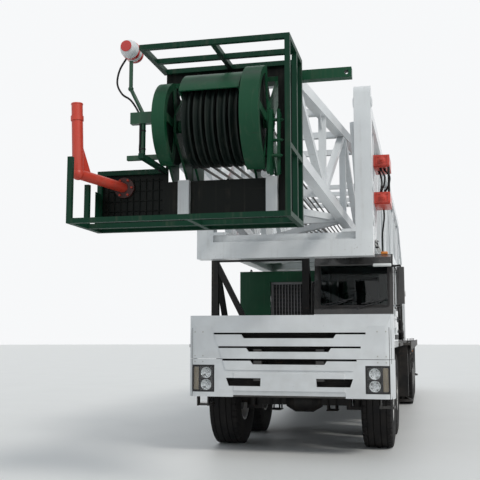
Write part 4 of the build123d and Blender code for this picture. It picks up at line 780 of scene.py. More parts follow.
@dress("truck", "red_lens")
def tail_lenses():
    """Red lenses with five level ribs."""
    rib = soft_box((1.004, 14.092, -0.003), (1.168, 14.0995, 0.003), 0.002)
    return both(prism(loop((1.0, 0.938), (1.172, 1.022), 0.006), 0.014, 1, 14.088),
                copies(rib, [(0, 0, z) for z in np.linspace(0.95, 1.01, 5)]))


@dress("truck", "amber")
def roof_markers():
    """Two marker lamps on the cab's roof edge."""
    lens = soft_box((-0.042, -0.028, 0), (0.042, 0.028, 0.036), 0.012, 5)
    roof = box("cab_shell")[1][2]
    return copies(lens, [(x, 0.325, roof) for x in (0.4, 1.15)])


@dress("truck", "pale_lens")
def visor_lamp():
    """The lamp under the cab's visor, with its lens."""
    return merge(soft_box((1.02, 0.07, 2.262), (1.24, 0.115, 2.3), 0.014, 5),
                 soft_box((1.05, 0.062, 2.272), (1.21, 0.075, 2.291), 0.005))


@dress("truck", "soft_rubber")
def grille_shade_sheets():
    """Dark ribbed sheets behind the slots of the nose and the bumper, painted shade that keeps the slots
    black.
    """
    return merge(ribbed_sheet(1.2, 1.175, 1.63), ribbed_sheet(0.84, 0.745, 1.12))


@dress("truck", "zinc")
def panel_bolts():
    """Round-headed bolts along the bumper's top and the nose's corner panels."""
    head = lathe([(0, 0.009), (0.002, 0.009), (0.004, 0.006), (0.005, 0.001)], (0, 0, 0), FORWARD, 10)
    return copies(head, [(x, 0.012, z) for x in (-1.16, -1.06, 1.06, 1.16) for z in (1.13, 1.2, 1.49)])


# Cab

OUTER_WALL = 1.25           # the door's outside


def lean_back(shape):
    """The shape sheared so that it lies on the windscreen's slope."""
    points, faces = shape
    return points + (points[:, 2:] - SILL_Z) * (0, SLOPE, 0), faces


@dress("truck", "soft_rubber")
def window_seals():
    """Rubber seals round the windscreen, the right side window and the rear window."""
    return merge(lean_back(rim((0.352, 1.782), (1.208, 2.338), 0.04, 0.026, (0.142, 0.153))),
                 rim((0.545, 1.805), (1.515, 2.315), 0.06, 0.022, (0.29, 0.302), 0),
                 rim((0.425, 1.805), (1.125, 2.315), 0.03, 0.022, (1.716, 1.728)))


@dress("truck", "trim")
def wipers():
    """Two parked wipers: a bent arm from its pivot, and a blade."""
    arm = curve_through([(-0.1, 0.148, 1.77), (0, 0.136, 1.8), (0.12, 0.14, 1.835), (0.2, 0.146, 1.86)], 5)
    one = merge(tube(arm, 0.005),
                tube([(-0.06, 0.14, 1.822), (0.2, 0.15, 1.872), (0.27, 0.153, 1.885)], 0.006, 6),
                lathe([(0, 0.016), (0.012, 0.016), (0.016, 0.011), (0.017, 0.001)], (-0.1, 0.156, 1.768),
                      (0, -1, 0.1), 14))
    return copies(one, [(0.5, 0, 0), (0.93, 0, 0)])


@dress("truck", "black_paint")
def cab_rails():
    """A grab rail behind the door and one on the cab's inner front corner, with their feet."""
    foot = [(0, 0.026), (0.006, 0.026), (0.008, 0.02), (0.009, 0.012)]
    shapes = []
    # columns: wall, rail's middle, lower foot's station and height, upper foot's
    rails = ((OUTER_WALL, 1.3, (1.65, 1.5), (1.65, 2.25)), (0.3, 0.255, (0.3, 1.5), (0.34, 2.1)))
    for wall, out, low, high in rails:
        path = [(wall, *low), (out, *low), (out, *high), (wall, *high)]
        shapes.append(tube(rounded(path, 0.03), 0.013, 10))
    for wall, out, *ends in rails:
        shapes += [lathe(foot, (wall, *end), (math.copysign(1, out - wall), 0, 0), 16) for end in ends]
    return merge(*shapes)


@dress("door", "trim")
def door_fittings():
    """The door's pull handle over its dished plate, the key barrel and the lower kick strip."""
    y0, y1, z = 1.38, 1.52, 1.66
    wall, out = OUTER_WALL + 0.002, OUTER_WALL + 0.032
    return merge(tube(rounded([(wall, y0, z), (out, y0, z), (out, y1, z), (wall, y1, z)], 0.014), 0.009),
                 prism(loop((1.355, 1.625), (1.55, 1.695), 0.02), 0.006, 0, wall),
                 lathe([(0, 0.014), (0.004, 0.014), (0.006, 0.011), (0.003, 0.008), (0.003, 0.001)],
                       (1.255, 1.31, z), ACROSS, 14),
                 soft_box((1.249, 0.47, 1.395), (1.256, 1.52, 1.46), 0.003))


@dress("door", "soft_rubber")
def door_seal():
    """The seal round the door's pane."""
    return rim((0.485, 1.775), (1.505, 2.325), 0.06, 0.022, (1.249, 1.258), 0)


@dress("truck", "mirror_face")
def mirror_glass():
    """The mirror's face, on the rear of its housing."""
    return soft_box((1.303, 0.213, 1.84), (1.377, 0.219, 2.24), 0.003)


# Cab's inside

DRIVER_X = 0.775
TO_DRIVER = (0, 0.8, 0.6)   # the way the steering wheel faces


@dress("truck", "trim", stands_for=["cab_interior"])
def dashboard():
    """The dashboard: a rounded block with a hooded instrument nest, vents and a footwell."""
    side = rounded([(0.2, 1.36), (0.2, 1.7), (0.24, 1.725), (0.36, 1.72), (0.42, 1.64), (0.43, 1.56),
                    (0.36, 1.5), (0.33, 1.36)], 0.02, 4)
    hood = rounded([(0.58, 1.7), (0.6, 1.79), (0.68, 1.815), (0.87, 1.815), (0.95, 1.79), (0.97, 1.7)],
                   0.025, 4)
    panel = soft_box((0.61, -0.006, -0.075), (0.94, 0.006, 0.03), 0.004)
    vent = soft_box((-0.05, -0.004, -0.004), (0.05, 0.004, 0.004), 0.002)
    return merge(prism(side, 0.84, 0, 0.765), prism(hood, 0.13, 1, 0.33), moved(panel, (0, 0.4, SILL_Z)),
                 copies(vent, [(x, 0.425, z) for x in (0.44, 1.08) for z in (1.59, 1.605, 1.62, 1.635)]))


@dress("truck", "soft_rubber")
def steering_wheel():
    """The steering wheel: a ring with finger swells, three flat arms, a horn cap, on its column."""
    reach = 0.21
    turn = np.linspace(0, 2 * np.pi, 72, endpoint=False)
    swell = 0.0145 + 0.0012 * np.cos(24 * turn)[:, None]
    section = np.linspace(0, 2 * np.pi, 10, endpoint=False)
    grip = reach + swell * np.cos(section)
    edge = np.stack([swell * np.sin(section), grip * np.cos(turn)[:, None], grip * np.sin(turn)[:, None]], -1)
    shapes = [skin(edge, wrap_rows=True)]
    for angle in (0.0, np.pi, 1.5 * np.pi):
        outward = np.array([0.0, np.cos(angle), np.sin(angle)])
        shapes.append(sweep(np.linspace(0.04 * outward, 0.205 * outward, 4), flat(0.01, 0.036), level=ACROSS))
    shapes.append(lathe([(-0.02, 0.03), (-0.01, 0.05), (0.012, 0.052), (0.02, 0.044), (0.024, 0.002)]))
    wheel = moved(turned(merge(*shapes), axes_to(TO_DRIVER)), (DRIVER_X, 0.565, 1.824))
    column = tube(np.linspace((DRIVER_X, 0.33, 1.65), (DRIVER_X, 0.55, 1.812), 4), 0.032, 20)
    boot = lathe([(-0.03, 0.05), (0.0, 0.058), (0.03, 0.052), (0.06, 0.058), (0.09, 0.05), (0.12, 0.04)],
                 (DRIVER_X, 0.36, 1.672), TO_DRIVER, 24)
    stalks = [tube(np.linspace((DRIVER_X + near, 0.5, 1.775), (DRIVER_X + far, 0.525, 1.8), 4), 0.006)
              for near, far in ((-0.03, -0.15), (0.03, 0.15))]
    return merge(wheel, column, boot, *stalks)


@dress("truck", "trim")
def pedals_and_levers():
    """Three pedals, and the gear lever with its knob and gaiter."""
    shapes = []
    for x, wide in ((0.6, 0.07), (0.75, 0.07), (0.9, 0.05)):
        shapes += [soft_box((x - wide / 2, 0.5, 1.44), (x + wide / 2, 0.512, 1.53), 0.005),
                   tube([(x, 0.34, 1.5), (x, 0.42, 1.47), (x, 0.5, 1.48)], 0.008)]
    knob = [(0, 0.012), (0.01, 0.026), (0.03, 0.03), (0.048, 0.022), (0.055, 0.002)]
    gaiter = [(0, 0.07), (0.02, 0.055), (0.03, 0.06), (0.05, 0.04), (0.06, 0.045), (0.1, 0.016)]
    lever = curve_through([(0.42, 0.66, 1.36), (0.43, 0.68, 1.55), (0.47, 0.74, 1.74)], 5)
    return merge(*shapes, tube(lever, 0.01), lathe(knob, (0.47, 0.74, 1.73), (0.2, 0.3, 1), 18),
                 lathe(gaiter, (0.42, 0.66, 1.347), UP, 22))


@dress("truck", "trim")
def seat_frame():
    """The seat's bellows, its pan, the curved back shell and the slide rails."""
    folds = [(0, 0.13), (0.03, 0.16), (0.06, 0.13), (0.09, 0.16), (0.12, 0.13), (0.15, 0.16), (0.18, 0.14)]
    back = curve_through([(DRIVER_X, 1.46, 1.58), (DRIVER_X, 1.52, 1.75), (DRIVER_X, 1.565, 2.0),
                          (DRIVER_X, 1.61, 2.235)], 5)
    return merge(lathe(folds, (DRIVER_X, 1.19, 1.346), UP, 24),
                 soft_box((0.53, 0.95, 1.525), (1.02, 1.43, 1.575), 0.02, 5),
                 sweep(back, flat(0.46, 0.03)[:, ::-1], level=ACROSS),
                 moved(both(soft_box((0.2, 1.0, 1.5), (0.23, 1.4, 1.53), 0.005)), (DRIVER_X, 0, 0)))


def cushion(low, high, crown, panels):
    """A stuffed cushion: a soft box net whose top swells by crown times two cosine bows and
    sinks in a seam between panels. The sides bulge by a third of the crown."""
    columns, rows, side_rows = 56, 44, 5
    u, v = np.meshgrid(np.linspace(-1, 1, columns), np.linspace(-1, 1, rows))
    bow = np.cos(u * np.pi / 2) ** 0.5 * np.cos(v * np.pi / 2) ** 0.5
    seam = np.exp(-((np.abs(u) - 0.56) / 0.035) ** 2)
    for place in panels:
        seam = np.maximum(seam, np.exp(-((v - place) / 0.045) ** 2) * (np.abs(u) < 0.56))
    low, high = np.asarray(low, float), np.asarray(high, float)
    centre, half = (low + high) / 2, (high - low) / 2
    drawn_in = 1 - 0.04 * (1 - bow)
    level = np.stack([centre[0] + half[0] * u * drawn_in, centre[1] + half[1] * v * drawn_in], -1)
    creases = 0.0018 * np.sin(9 * u + 5 * np.sin(3 * v)) * bow
    top = high[2] - crown + crown * bow - 0.011 * seam * (bow > 0.05) + creases
    upper = np.concatenate([level, top[..., None]], -1).reshape(-1, 3)
    lower = np.concatenate([level, (low[2] - 0.004 * bow)[..., None]], -1).reshape(-1, 3)
    edge = np.concatenate([np.arange(columns), columns * np.arange(1, rows) + columns - 1,
                           columns * (rows - 1) + np.arange(columns - 2, -1, -1),
                           columns * np.arange(rows - 2, 0, -1)])
    outline = upper[edge]
    drop = np.linspace(0, 1, side_rows + 2)[1:-1, None, None]
    outward = np.concatenate([(outline[:, :2] - centre[:2]) / half[:2], np.zeros((len(edge), 1))], -1)
    side = outline + drop * (lower[edge] - outline) + np.sin(np.pi * drop) * outward * crown / 3
    first, count = rows * columns, len(edge)
    last = first + side_rows * count
    between = first + np.arange(side_rows * count).reshape(side_rows, count)
    rings = np.concatenate([[edge], between, [last + edge]])
    after = np.roll(rings, -1, 1)
    walls = np.stack([rings[:-1], rings[1:], after[1:], after[:-1]], -1).reshape(-1, 4)
    cover = net(rows, columns, wrap_cols=False)
    return np.concatenate([upper, side.reshape(-1, 3), lower]), [cover, walls, cover[:, ::-1] + last]


SEAT = cushion((0.515, 0.94, 1.575), (1.035, 1.45, 1.7), 0.035, (-0.3, 0.3))
REST = turned(cushion((-0.24, -0.31, -0.055), (0.24, 0.31, 0.055), 0.03, (-0.5, 0.0, 0.5)),
              [[1, 0, 0], [0, 0.19, 0.982], [0, -0.982, 0.19]])
for name, shape in (("seat_cushion", SEAT), ("seat_back", moved(REST, (DRIVER_X, 1.48, 1.95)))):
    piece(name, shape, "truck", "seat_cloth", angle=80)


# Mast

LOWER_Y0, LOWER_BAY = -0.2, 1.35            # the end posts' station and the bays behind them
LOWER_ROWS = LOWER_Y0 + LOWER_BAY * np.arange(9)
TAPER_Y0, TAPER_Y1 = -2.6, 1.6              # the upper section widens between these
UPPER_ROWS = np.concatenate([[TAPER_Y0, -1.2, 0.2, TAPER_Y1], TAPER_Y1 + 1.23 * np.arange(1, 9)])
PIPE_X, PIPE_Z = 1.046, 2.61                # the pipe beside each back chord of the lower section


def corner_plates(rows, half, back, top, chord, brace, leg, thick=0.012):
    """Three-cornered stiffeners where each post meets a chord, on both of its sides. The columns
    half, back and top give the section at each row."""
    shapes = []
    for y, x, low, high in zip(rows, half, back, top):
        for step in (-1, 1):
            y0 = y + step * brace / 2
            for z0, up in ((low + chord / 2, 1), (high - chord / 2, -1)):
                corner = [(y0, z0), (y0 + step * leg, z0), (y0 + step * leg * 0.9, z0 + up * 0.03),
                          (y0 + step * 0.03, z0 + up * leg * 0.9), (y0, z0 + up * leg)]
                shapes.append(prism(corner, thick, 0, x))
    return both(*shapes)


@dress("mast_lower", "white_paint")
def lower_gussets():
    """The lower section's stiffeners, from the second row on."""
    rows = LOWER_ROWS[1:]
    half, back, top = (np.full(len(rows), size) for size in (0.955, 2.6, 4.225))
    return corner_plates(rows, half, back, top, 0.15, 0.09, 0.2)


@dress("mast_upper", "white_paint")
def upper_gussets():
    """The upper section's stiffeners; its width, back and top change evenly along the taper."""
    rows = UPPER_ROWS[1:-1]
    share = np.clip((rows - TAPER_Y0) / (TAPER_Y1 - TAPER_Y0), 0, 1)
    half, back, top = 0.515 + 0.23 * share, 3.035 - 0.26 * share, 3.725 + 0.305 * share
    return corner_plates(rows, half, back, top, 0.11, 0.075, 0.14)


# columns: side, the heights of its pipes
PIPES = ((1, (PIPE_Z - 0.045, PIPE_Z)), (-1, (PIPE_Z,)))


@dress("mast_lower", "zinc")
def pressure_pipes():
    """Two steel pipes along the left back chord and one along the right, with a bend up at the foot."""
    shapes = []
    for side, heights in PIPES:
        for z in heights:
            corners = [(PIPE_X, y, z + rise) for y, rise in ((0.35, 0), (9.3, 0), (9.62, 0.16), (10.3, 0.16))]
            shapes.append(tube(rounded(corners, 0.08) * (side, 1, 1), 0.011))
    return merge(*shapes)


@dress("mast_lower", "trim")
def pipe_clamps():
    """A block with two screws round the pipes in the middle of each bay."""
    shapes = []
    for side, heights in PIPES:
        low, high = heights[0], heights[-1]
        for y in np.arange(0.6, 9.0, LOWER_BAY):
            clamp = merge(soft_box((1.028, y - 0.02, low - 0.026), (1.062, y + 0.02, high + 0.026), 0.006),
                          copies(bolt(0.012), [(1.06, y, low - 0.018), (1.06, y, high + 0.018)]))
            shapes.append(clamp if side > 0 else mirrored(clamp))
    return merge(*shapes)


# the red latch boxes' undersides, and their height
LATCHES, LATCH_H = (3.18, 3.68), 0.15


@dress("mast_lower", "red_paint")
def latch_fittings():
    """On each pair of red latch boxes: a cover with screws, a jack spindle and its guide bar."""
    spindle = [(0, 0.05), (0.012, 0.05), (0.014, 0.036), (0.05, 0.034), (0.054, 0.02), (0.09, 0.018),
               (0.092, 0.002)]
    shapes = []
    for z in LATCHES:
        screws = [(x, 0.996, z + dz) for x in (1.04, 1.185) for dz in (0.022, LATCH_H - 0.022)]
        shapes += [rim((1.03, z + 0.012), (1.195, z + LATCH_H - 0.012), 0.02, 0.018, (0.992, 1.002)),
                   copies(turned(bolt(0.016), FACING), screws),
                   lathe(spindle, (1.112, 1.0, z + LATCH_H / 2), FORWARD, 20),
                   soft_box((1.0, 1.02, z - 0.012), (1.2, 1.54, z + 0.001), 0.004)]
    return both(*shapes)


@dress("mast_lower", "soft_rubber")
def latch_hoses():
    """Black hoses looped between the upper and lower latch boxes, with crimped ends."""
    upper, lower = LATCHES[1], LATCHES[0] + LATCH_H
    crimp = [(0, 0.02), (0.02, 0.02), (0.022, 0.016), (0.05, 0.015), (0.052, 0.011)]
    shapes = []
    for x, y, out in ((1.09, 1.08, 0.16), (1.14, 1.12, 0.2), (1.06, 1.3, 0.1)):
        knots = [(x, y, upper), (x + 0.01, y - 0.02, 3.63), (x + out * 0.35, y - out, 3.52),
                 (x + out * 0.3, y - out * 0.9, 3.42), (x + 0.01, y - 0.02, 3.36), (x, y, lower)]
        shapes += [tube(curve_through(knots, 6), 0.012), lathe(crimp, (x, y, upper), (0, 0, -1), 12),
                   lathe(crimp, (x, y, lower), UP, 12)]
    down = [(1.1, 1.5, LATCHES[0]), (1.1, 1.54, 3.05), (1.07, 1.6, 2.85), (1.06, 1.75, 2.7),
            (1.05, 1.95, PIPE_Z)]
    return both(*shapes, tube(curve_through(down, 6), 0.012))


@dress("mast_lower", "black_paint")
def latch_stays():
    """An upright bar between the latch boxes."""
    return both(tube([(1.195, 1.04, 3.32), (1.195, 1.04, 3.5), (1.195, 1.04, 3.69)], 0.016, 12))


@dress("mast_lower", "white_paint")
def pin_hole_rings():
    """Rings round the pin holes of the mouth's end posts, inside and outside."""
    profile = [(0, 0.039), (0, 0.062), (0.008, 0.062), (0.012, 0.056), (0.012, 0.039)]
    return both(*[lathe(profile, (x, LOWER_Y0, z), (side, 0, 0), 28, closed=True)
                  for z in (2.78, 3.18, 4.205) for x, side in ((1.056, 1), (0.854, -1))])


@dress("mast_lower", "white_paint")
def mast_ladder():
    """The climbing ladder on the lower section's right side: two angle rails, round rungs and
    stand-off brackets."""
    low, high = 3.2, 3.58
    stations = [*(2.5 + LOWER_BAY * np.arange(7)), 11.66]
    rung = tube([(-1.067, 0, low), (-1.067, 0, 3.4), (-1.067, 0, high)], 0.011)
    rails = [soft_box((-1.075, 1.75, z - 0.018), (-1.06, 12.35, z + 0.018), 0.004) for z in (low, high)]
    bracket = soft_box((-1.066, -0.02, -0.014), (-0.995, 0.02, 0.014), 0.004)
    return merge(*rails, copies(rung, [(0, y, 0) for y in np.arange(1.9, 12.3, 0.3)]),
                 copies(bracket, [(0, y, z) for y in stations for z in (low, high)]))


@dress("racking_board", "white_paint")
def board_fittings():
    """The racking board's finger latches and the grip strips on its walkway."""
    latch = merge(soft_box((-0.03, -0.02, 4.39), (0.03, 0.02, 4.398), 0.003),
                  tube([(0.0, -0.03, 4.402), (0.0, 0.0, 4.404), (0.0, 0.035, 4.402)], 0.005, 6))
    return merge(copies(latch, [(x, 6.86, 0) for x in np.arange(-0.64, 0.65, 0.16)]),
                 *[soft_box((-0.75, y, 4.405), (0.75, y + 0.012, 4.4098), 0.003, 2)
                   for y in np.arange(6.01, 6.08, 0.022)])


# Crown

SHAFT = middle("crown_sheaves") * (0, 1, 1)     # a point on the sheaves' shaft
CAPS = (0.38, -0.57)                            # where the shaft ends, left and right
LAMP = np.array([-0.82, -3.185, 3.9])           # the warning lamp's middle


@dress("mast_upper", "red_lens")
def lamp_bands():
    """Red glass bands round the warning lamp, and the round eye at its front."""
    shapes = []
    for low, high in ((-0.062, -0.022), (0.022, 0.062)):
        along = np.linspace(low, high, 5)
        shell = np.stack([along, 0.0795 + 0.004 * np.sin(np.linspace(0, np.pi, 5))], -1)
        inner = np.stack([along[::-1], np.full(5, 0.077)], -1)
        shapes.append(lathe(np.concatenate([shell, inner]), LAMP, REARWARD, 36, closed=True))
    eye = [(0.0, 0.05), (0.004, 0.046), (0.006, 0.02), (0.007, 0.002)]
    return merge(*shapes, lathe(eye, LAMP - (0, 0.169, 0), FORWARD, 24))


@dress("mast_upper", "soft_rubber")
def lamp_wires():
    """The warning lamp's cable: a loop that hangs from the lamp to its stand, tied to it below."""
    hanging = [(-0.87, -3.2, 3.85), (-0.93, -3.21, 3.74), (-0.95, -3.21, 3.62), (-0.9, -3.22, 3.52),
               (-0.82, -3.23, 3.46), (-0.76, -3.24, 3.38), (-0.72, -3.24, 3.3)]
    along = [hanging[-1], (-0.723, -3.235, 3.1), (-0.72, -3.22, 2.97), (-0.62, -3.2, 2.9),
             (-0.6, -3.1, 2.86), (-0.6, -2.95, 2.86)]
    ties = [lathe([(-0.006, 0.02), (0.006, 0.02), (0.006, 0.023), (-0.006, 0.023)], (-0.7, -3.22, z), UP, 12,
                  closed=True) for z in (3.02, 3.18)]
    return merge(tube(curve_through(hanging, 6), 0.009), tube(curve_through(along, 5), 0.009), *ties)


@dress("mast_upper", "green_paint")
def fork_bracket():
    """The forked tool bracket on the right guard: a bent plate with two prongs and bolts."""
    outline = [(-3.3, 2.76), (-3.24, 2.75), (-3.2, 2.86), (-3.14, 2.76), (-3.08, 2.78), (-3.12, 2.95),
               (-3.1, 3.15), (-3.04, 3.3), (-3.12, 3.33), (-3.2, 3.2), (-3.24, 3.0)]
    shapes = [prism(outline, 0.024, 0, 0.4), prism(outline[3:9], 0.024, 0, 0.46)]
    for y, z in ((-3.1, 3.24), (-3.12, 3.06), (-3.16, 2.92)):
        shapes += [tube([(0.368, y, z), (0.42, y, z), (0.482, y, z)], 0.014, 10),
                   moved(bolt(0.026), (0.472, y, z))]
    return merge(*shapes)


def shaft_cap(radius, place, side=1):
    """A bevelled cap on a shaft's end."""
    profile = [(0, radius), (0.02, radius), (0.026, radius - 0.012), (0.028, 0.002)]
    return lathe(profile, place, (side, 0, 0), 28)


@dress("mast_upper", "green_paint")
def crown_bolts():
    """The shaft's end caps, each in a ring of bolts, and grease nipples above the shaft."""
    nipple = [(0, 0.008), (0.014, 0.007), (0.016, 0.004), (0.022, 0.003)]
    bolts = copies(bolt(0.02), ring(SHAFT + (CAPS[0] + 0.005, 0, 0), 0.085, 8))
    cap = shaft_cap(0.062, SHAFT + (CAPS[0], 0, 0))
    wider = (-CAPS[1] - CAPS[0], 0, 0)
    return merge(bolts, cap, mirrored(moved(bolts, wider)), mirrored(moved(cap, wider)),
                 *[lathe(nipple, SHAFT + (x, 0, 0.09), UP, 8) for x in (-0.38, 0.195)])


# the platform plate's face, and how far forward its kick strips reach
PLATE_Y, RAIL_FRONT = -2.91, -3.06


@dress("mast_upper", "plate_paint")
def lobe_grip_bars():
    """Crossed bars on the platform's side lobe, against its plate."""
    upright = [soft_box((x - 0.004, PLATE_Y - 0.002, 2.42), (x + 0.004, PLATE_Y + 0.011, 2.83), 0.002, 2)
               for x in np.arange(-1.14, -0.62, 0.06)]
    level = [soft_box((-1.17, PLATE_Y, z - 0.004), (-0.63, PLATE_Y + 0.011, z + 0.004), 0.002, 2)
             for z in np.arange(2.45, 2.82, 0.09)]
    return merge(*upright, *level)


@dress("mast_upper", "plate_paint")
def toe_boards():
    """Kick strips inside the platform's side, foot and lobe rails, with rivets."""
    rivet = lathe([(0, 0.01), (0.003, 0.009), (0.006, 0.005), (0.007, 0.001)], (0, 0, 0), UP, 8)
    return merge(soft_box((-1.19, RAIL_FRONT, 2.376), (0.585, PLATE_Y, 2.384), 0.003, 2),
                 soft_box((0.59, RAIL_FRONT, 2.39), (0.598, PLATE_Y, 3.77), 0.003, 2),
                 soft_box((-1.2, RAIL_FRONT, 2.39), (-1.192, PLATE_Y, 2.7), 0.003, 2),
                 copies(rivet, [(x, -3.03, 2.384) for x in np.arange(-1.1, 0.55, 0.2)]))


@dress("mast_upper", "davit_paint")
def davit_fittings():
    """The red arm's bolted foot ring, its clamp band and the round cap at its tip."""
    leaning = (-0.033, -0.0167, 1)
    cap = [(0, 0.049), (0.006, 0.052), (0.014, 0.05), (0.018, 0.03), (0.019, 0.002)]
    return merge(copies(turned(bolt(0.022), FACING), ring((-0.98, -2.93, 2.75), 0.074, 6, axis=1)),
                 band(0.02, 0.049, 0.055, (-1.2415, -3.378, 3.28), leaning, 28),
                 lathe(cap, (-1.245, -3.38, 3.398), leaning, 28))


# Travelling block

BLOCK_FRONT, BLOCK_X = box("travelling_block")[0][1], box("travelling_block")[1][0]
BLOCK_Z = 3.3               # the block's middle line


@dress("mast_upper", "wire_rope")
def hoist_lines():
    """Ten taut wires from the crown's sheaves, above and below their shaft, to the travelling block."""
    shapes = []
    for count, x in enumerate((-0.265, -0.165, -0.065, 0.035, 0.135)):
        for crown_z, block_z in ((3.575, 0.06), (2.905, -0.06)):
            ends = (x, -3.0, crown_z), (-0.12 + 0.06 * count, BLOCK_FRONT, BLOCK_Z + block_z)
            shapes.append(tube(np.linspace(*ends, 3), 0.012))
    return merge(*shapes)


@dress("mast_upper", "red_paint")
def block_fittings():
    """The travelling block's shaft caps, cheek bands and their bolts."""
    caps = [shaft_cap(0.07, (side * BLOCK_X, y, BLOCK_Z), side) for side in (-1, 1) for y in (8.78, 9.02)]
    bands = [rim((8.62, 3.13), (9.26, 3.47), 0.13, 0.04, (x - 0.004, x + 0.008), 0) for x in (-0.206, 0.2)]
    places = [(0.208, y, BLOCK_Z + z) for y in (8.67, 9.22) for z in (-0.13, 0.13)]
    return merge(*caps, *bands, both(copies(bolt(0.024), places)))


# Hoist

DRUM = middle("drum")
CHEEK_X = 0.7               # outside of the hoist's side plates


@dress("drum", "wire_rope")
def wound_rope():
    """The rope on the drum: one tube wound as a helix between the flanges, its radius rising and
    falling a little once a turn."""
    turns, half = 33, 0.445
    angle = np.linspace(0, 2 * np.pi * turns, turns * 22 + 1)
    radius = 0.308 + 0.003 * np.cos(angle)
    across = np.linspace(-half, half, len(angle))
    path = np.stack([across, radius * np.cos(angle), radius * np.sin(angle)], -1)
    return tube(path + DRUM, 0.0132, 7, level=ACROSS)


@dress("drum", "bare_steel")
def drum_details():
    """Bolt circles on the drum's flanges and bands round its brake rims."""
    return both(copies(bolt(0.026), ring(DRUM + (0.62, 0, 0), 0.34, 12)),
                band(0.05, 0.4, 0.408, DRUM + (0.56, 0, 0), ACROSS, 48))


@dress("truck", "green_paint")
def hoist_fittings():
    """Bolts round the hoist's cheeks, ribs that fan out from the shaft, and the chain case."""
    shapes = []
    for side in (-1, 1):
        one = bolt(0.022) if side > 0 else mirrored(bolt(0.022))
        shapes.append(copies(one, ring(DRUM + (side * CHEEK_X, 0, 0), 0.52, 16, arc=(-0.2, np.pi + 0.2))))
        for angle in (0.5, 1.1, 2.04, 2.64):
            outward = np.array([0, math.cos(angle), math.sin(angle)])
            start = DRUM + (side * (CHEEK_X + 0.005), 0, 0)
            path = np.linspace(start + 0.2 * outward, start + 0.48 * outward, 3)
            shapes.append(sweep(path, flat(0.03, 0.014), level=(0, -outward[2], outward[1])))
    case = rounded([(10.0, 1.38), (10.0, 2.2), (10.1, 2.3), (10.5, 2.3), (10.6, 2.2), (10.6, 1.38)], 0.06, 4)
    return merge(*shapes, prism(case, 0.1, 0, 0.87))


# Engine housing

HOUSING_X, HOUSING_TOP = box("machine_housings")[1][[0, 2]]
FAN = np.array([-0.115, 2.284, 1.89])       # middle of the fan's cone, on the shroud
ROOF_FAN = np.array([0.0, 4.2, HOUSING_TOP])
BAYS = (2.35, 3.25, 4.15)                   # where the louvred bays start
CYLINDER_Y = np.arange(2.85, 4.2, 0.26)     # the engine's cylinders


@dress("truck", "bare_steel")
def radiator():
    """The cooling pack behind the housing's front opening: a framed core of tubes and fins."""
    tubes = copies(soft_box((-0.006, 2.235, 1.55), (0.006, 2.262, 2.22), 0.002, 2),
                   [(x, 0, 0) for x in np.arange(-0.59, 0.37, 0.045)])
    fins = copies(soft_box((-0.6, 2.24, -0.0015), (0.37, 2.258, 0.0015), 0.001, 2),
                  [(0, 0, z) for z in np.arange(1.56, 2.22, 0.02)])
    return merge(tubes, fins, rim((-0.625, 1.53), (0.395, 2.245), 0.02, 0.035, (2.225, 2.27)))


@dress("truck", "black_paint")
def fan_shroud():
    """The closed sheet behind the core, a cone from it, and the fan in the cone: a hub and eight
    blades, each a plate turned by a third of a right angle."""
    cone = [(0, 0.33), (0.1, 0.3), (0.14, 0.3), (0.14, 0.292), (0.1, 0.292), (0, 0.322)]
    hub = [(0, 0.002), (0, 0.07), (0.06, 0.07), (0.08, 0.05), (0.085, 0.002)]
    blade = turned(soft_box((-0.05, -0.004, 0.05), (0.05, 0.004, 0.28), 0.003), about_z([0.5])[0])
    spin = about_z(np.arange(8) * -np.pi / 4)[:, [[0], [2], [1]], [0, 2, 1]]        # the same turns about Y
    return merge(soft_box((-0.62, 2.274, 1.535), (0.39, FAN[1], 2.24), 0.003, 2),
                 lathe(cone, FAN, REARWARD, 40, closed=True), lathe(hub, FAN + (0, 0.046, 0), REARWARD, 24),
                 copies(blade, FAN + (0, 0.086, 0), spin))


@dress("truck", "green_paint")
def housing_doors():
    """On the housing's sides: a frame round each bay, hinges and a lever latch."""
    hinge = [(-0.035, 0.003), (-0.035, 0.009), (0.035, 0.009), (0.035, 0.003)]
    wall = HOUSING_X
    shapes = []
    for start in BAYS:
        shapes.append(rim((start - 0.03, 1.57), (start + 0.59, 2.19), 0.02, 0.03, (wall, wall + 0.012), 0))
        for z in (1.68, 2.08):
            leaf = (wall, start - 0.06, z - 0.03), (wall + 0.008, start - 0.008, z + 0.03)
            shapes += [lathe(hinge, (wall + 0.016, start - 0.035, z), UP, 12), soft_box(*leaf, 0.003)]
        shapes += [soft_box((wall + 0.008, start + 0.565, 1.86), (wall + 0.02, start + 0.588, 1.94), 0.004),
                   soft_box((wall + 0.02, start + 0.56, 1.892), (wall + 0.032, start + 0.64, 1.91), 0.004)]
    return both(*shapes)


@dress("truck", "green_paint")
def roof_fittings():
    """The housing roof's fan guard of rings and arms, and its four lifting eyes."""
    edge = [(0, 0.36), (0.03, 0.36), (0.034, 0.345), (0.03, 0.33), (0.0, 0.33)]
    rings = [lathe([(0.02, r), (0.026, r + 0.006), (0.02, r + 0.012), (0.014, r + 0.006)], ROOF_FAN, UP, 40,
                   closed=True) for r in (0.05, 0.12, 0.19, 0.26)]
    arm = soft_box((0.0, -0.006, 0.012), (0.335, 0.006, 0.022), 0.002, 2)
    low, high = HOUSING_TOP - 0.005, HOUSING_TOP + 0.04
    eyes = [tube(rounded([(x, y, low), (x, y, high), (x, y + 0.1, high), (x, y + 0.1, low)], 0.035), 0.009)
            for x in (-0.95, 0.95) for y in (2.3, 4.6)]
    return merge(lathe(edge, ROOF_FAN, UP, 48, closed=True), *rings,
                 copies(arm, ROOF_FAN, about_z(np.arange(6) * np.pi / 3)), *eyes)


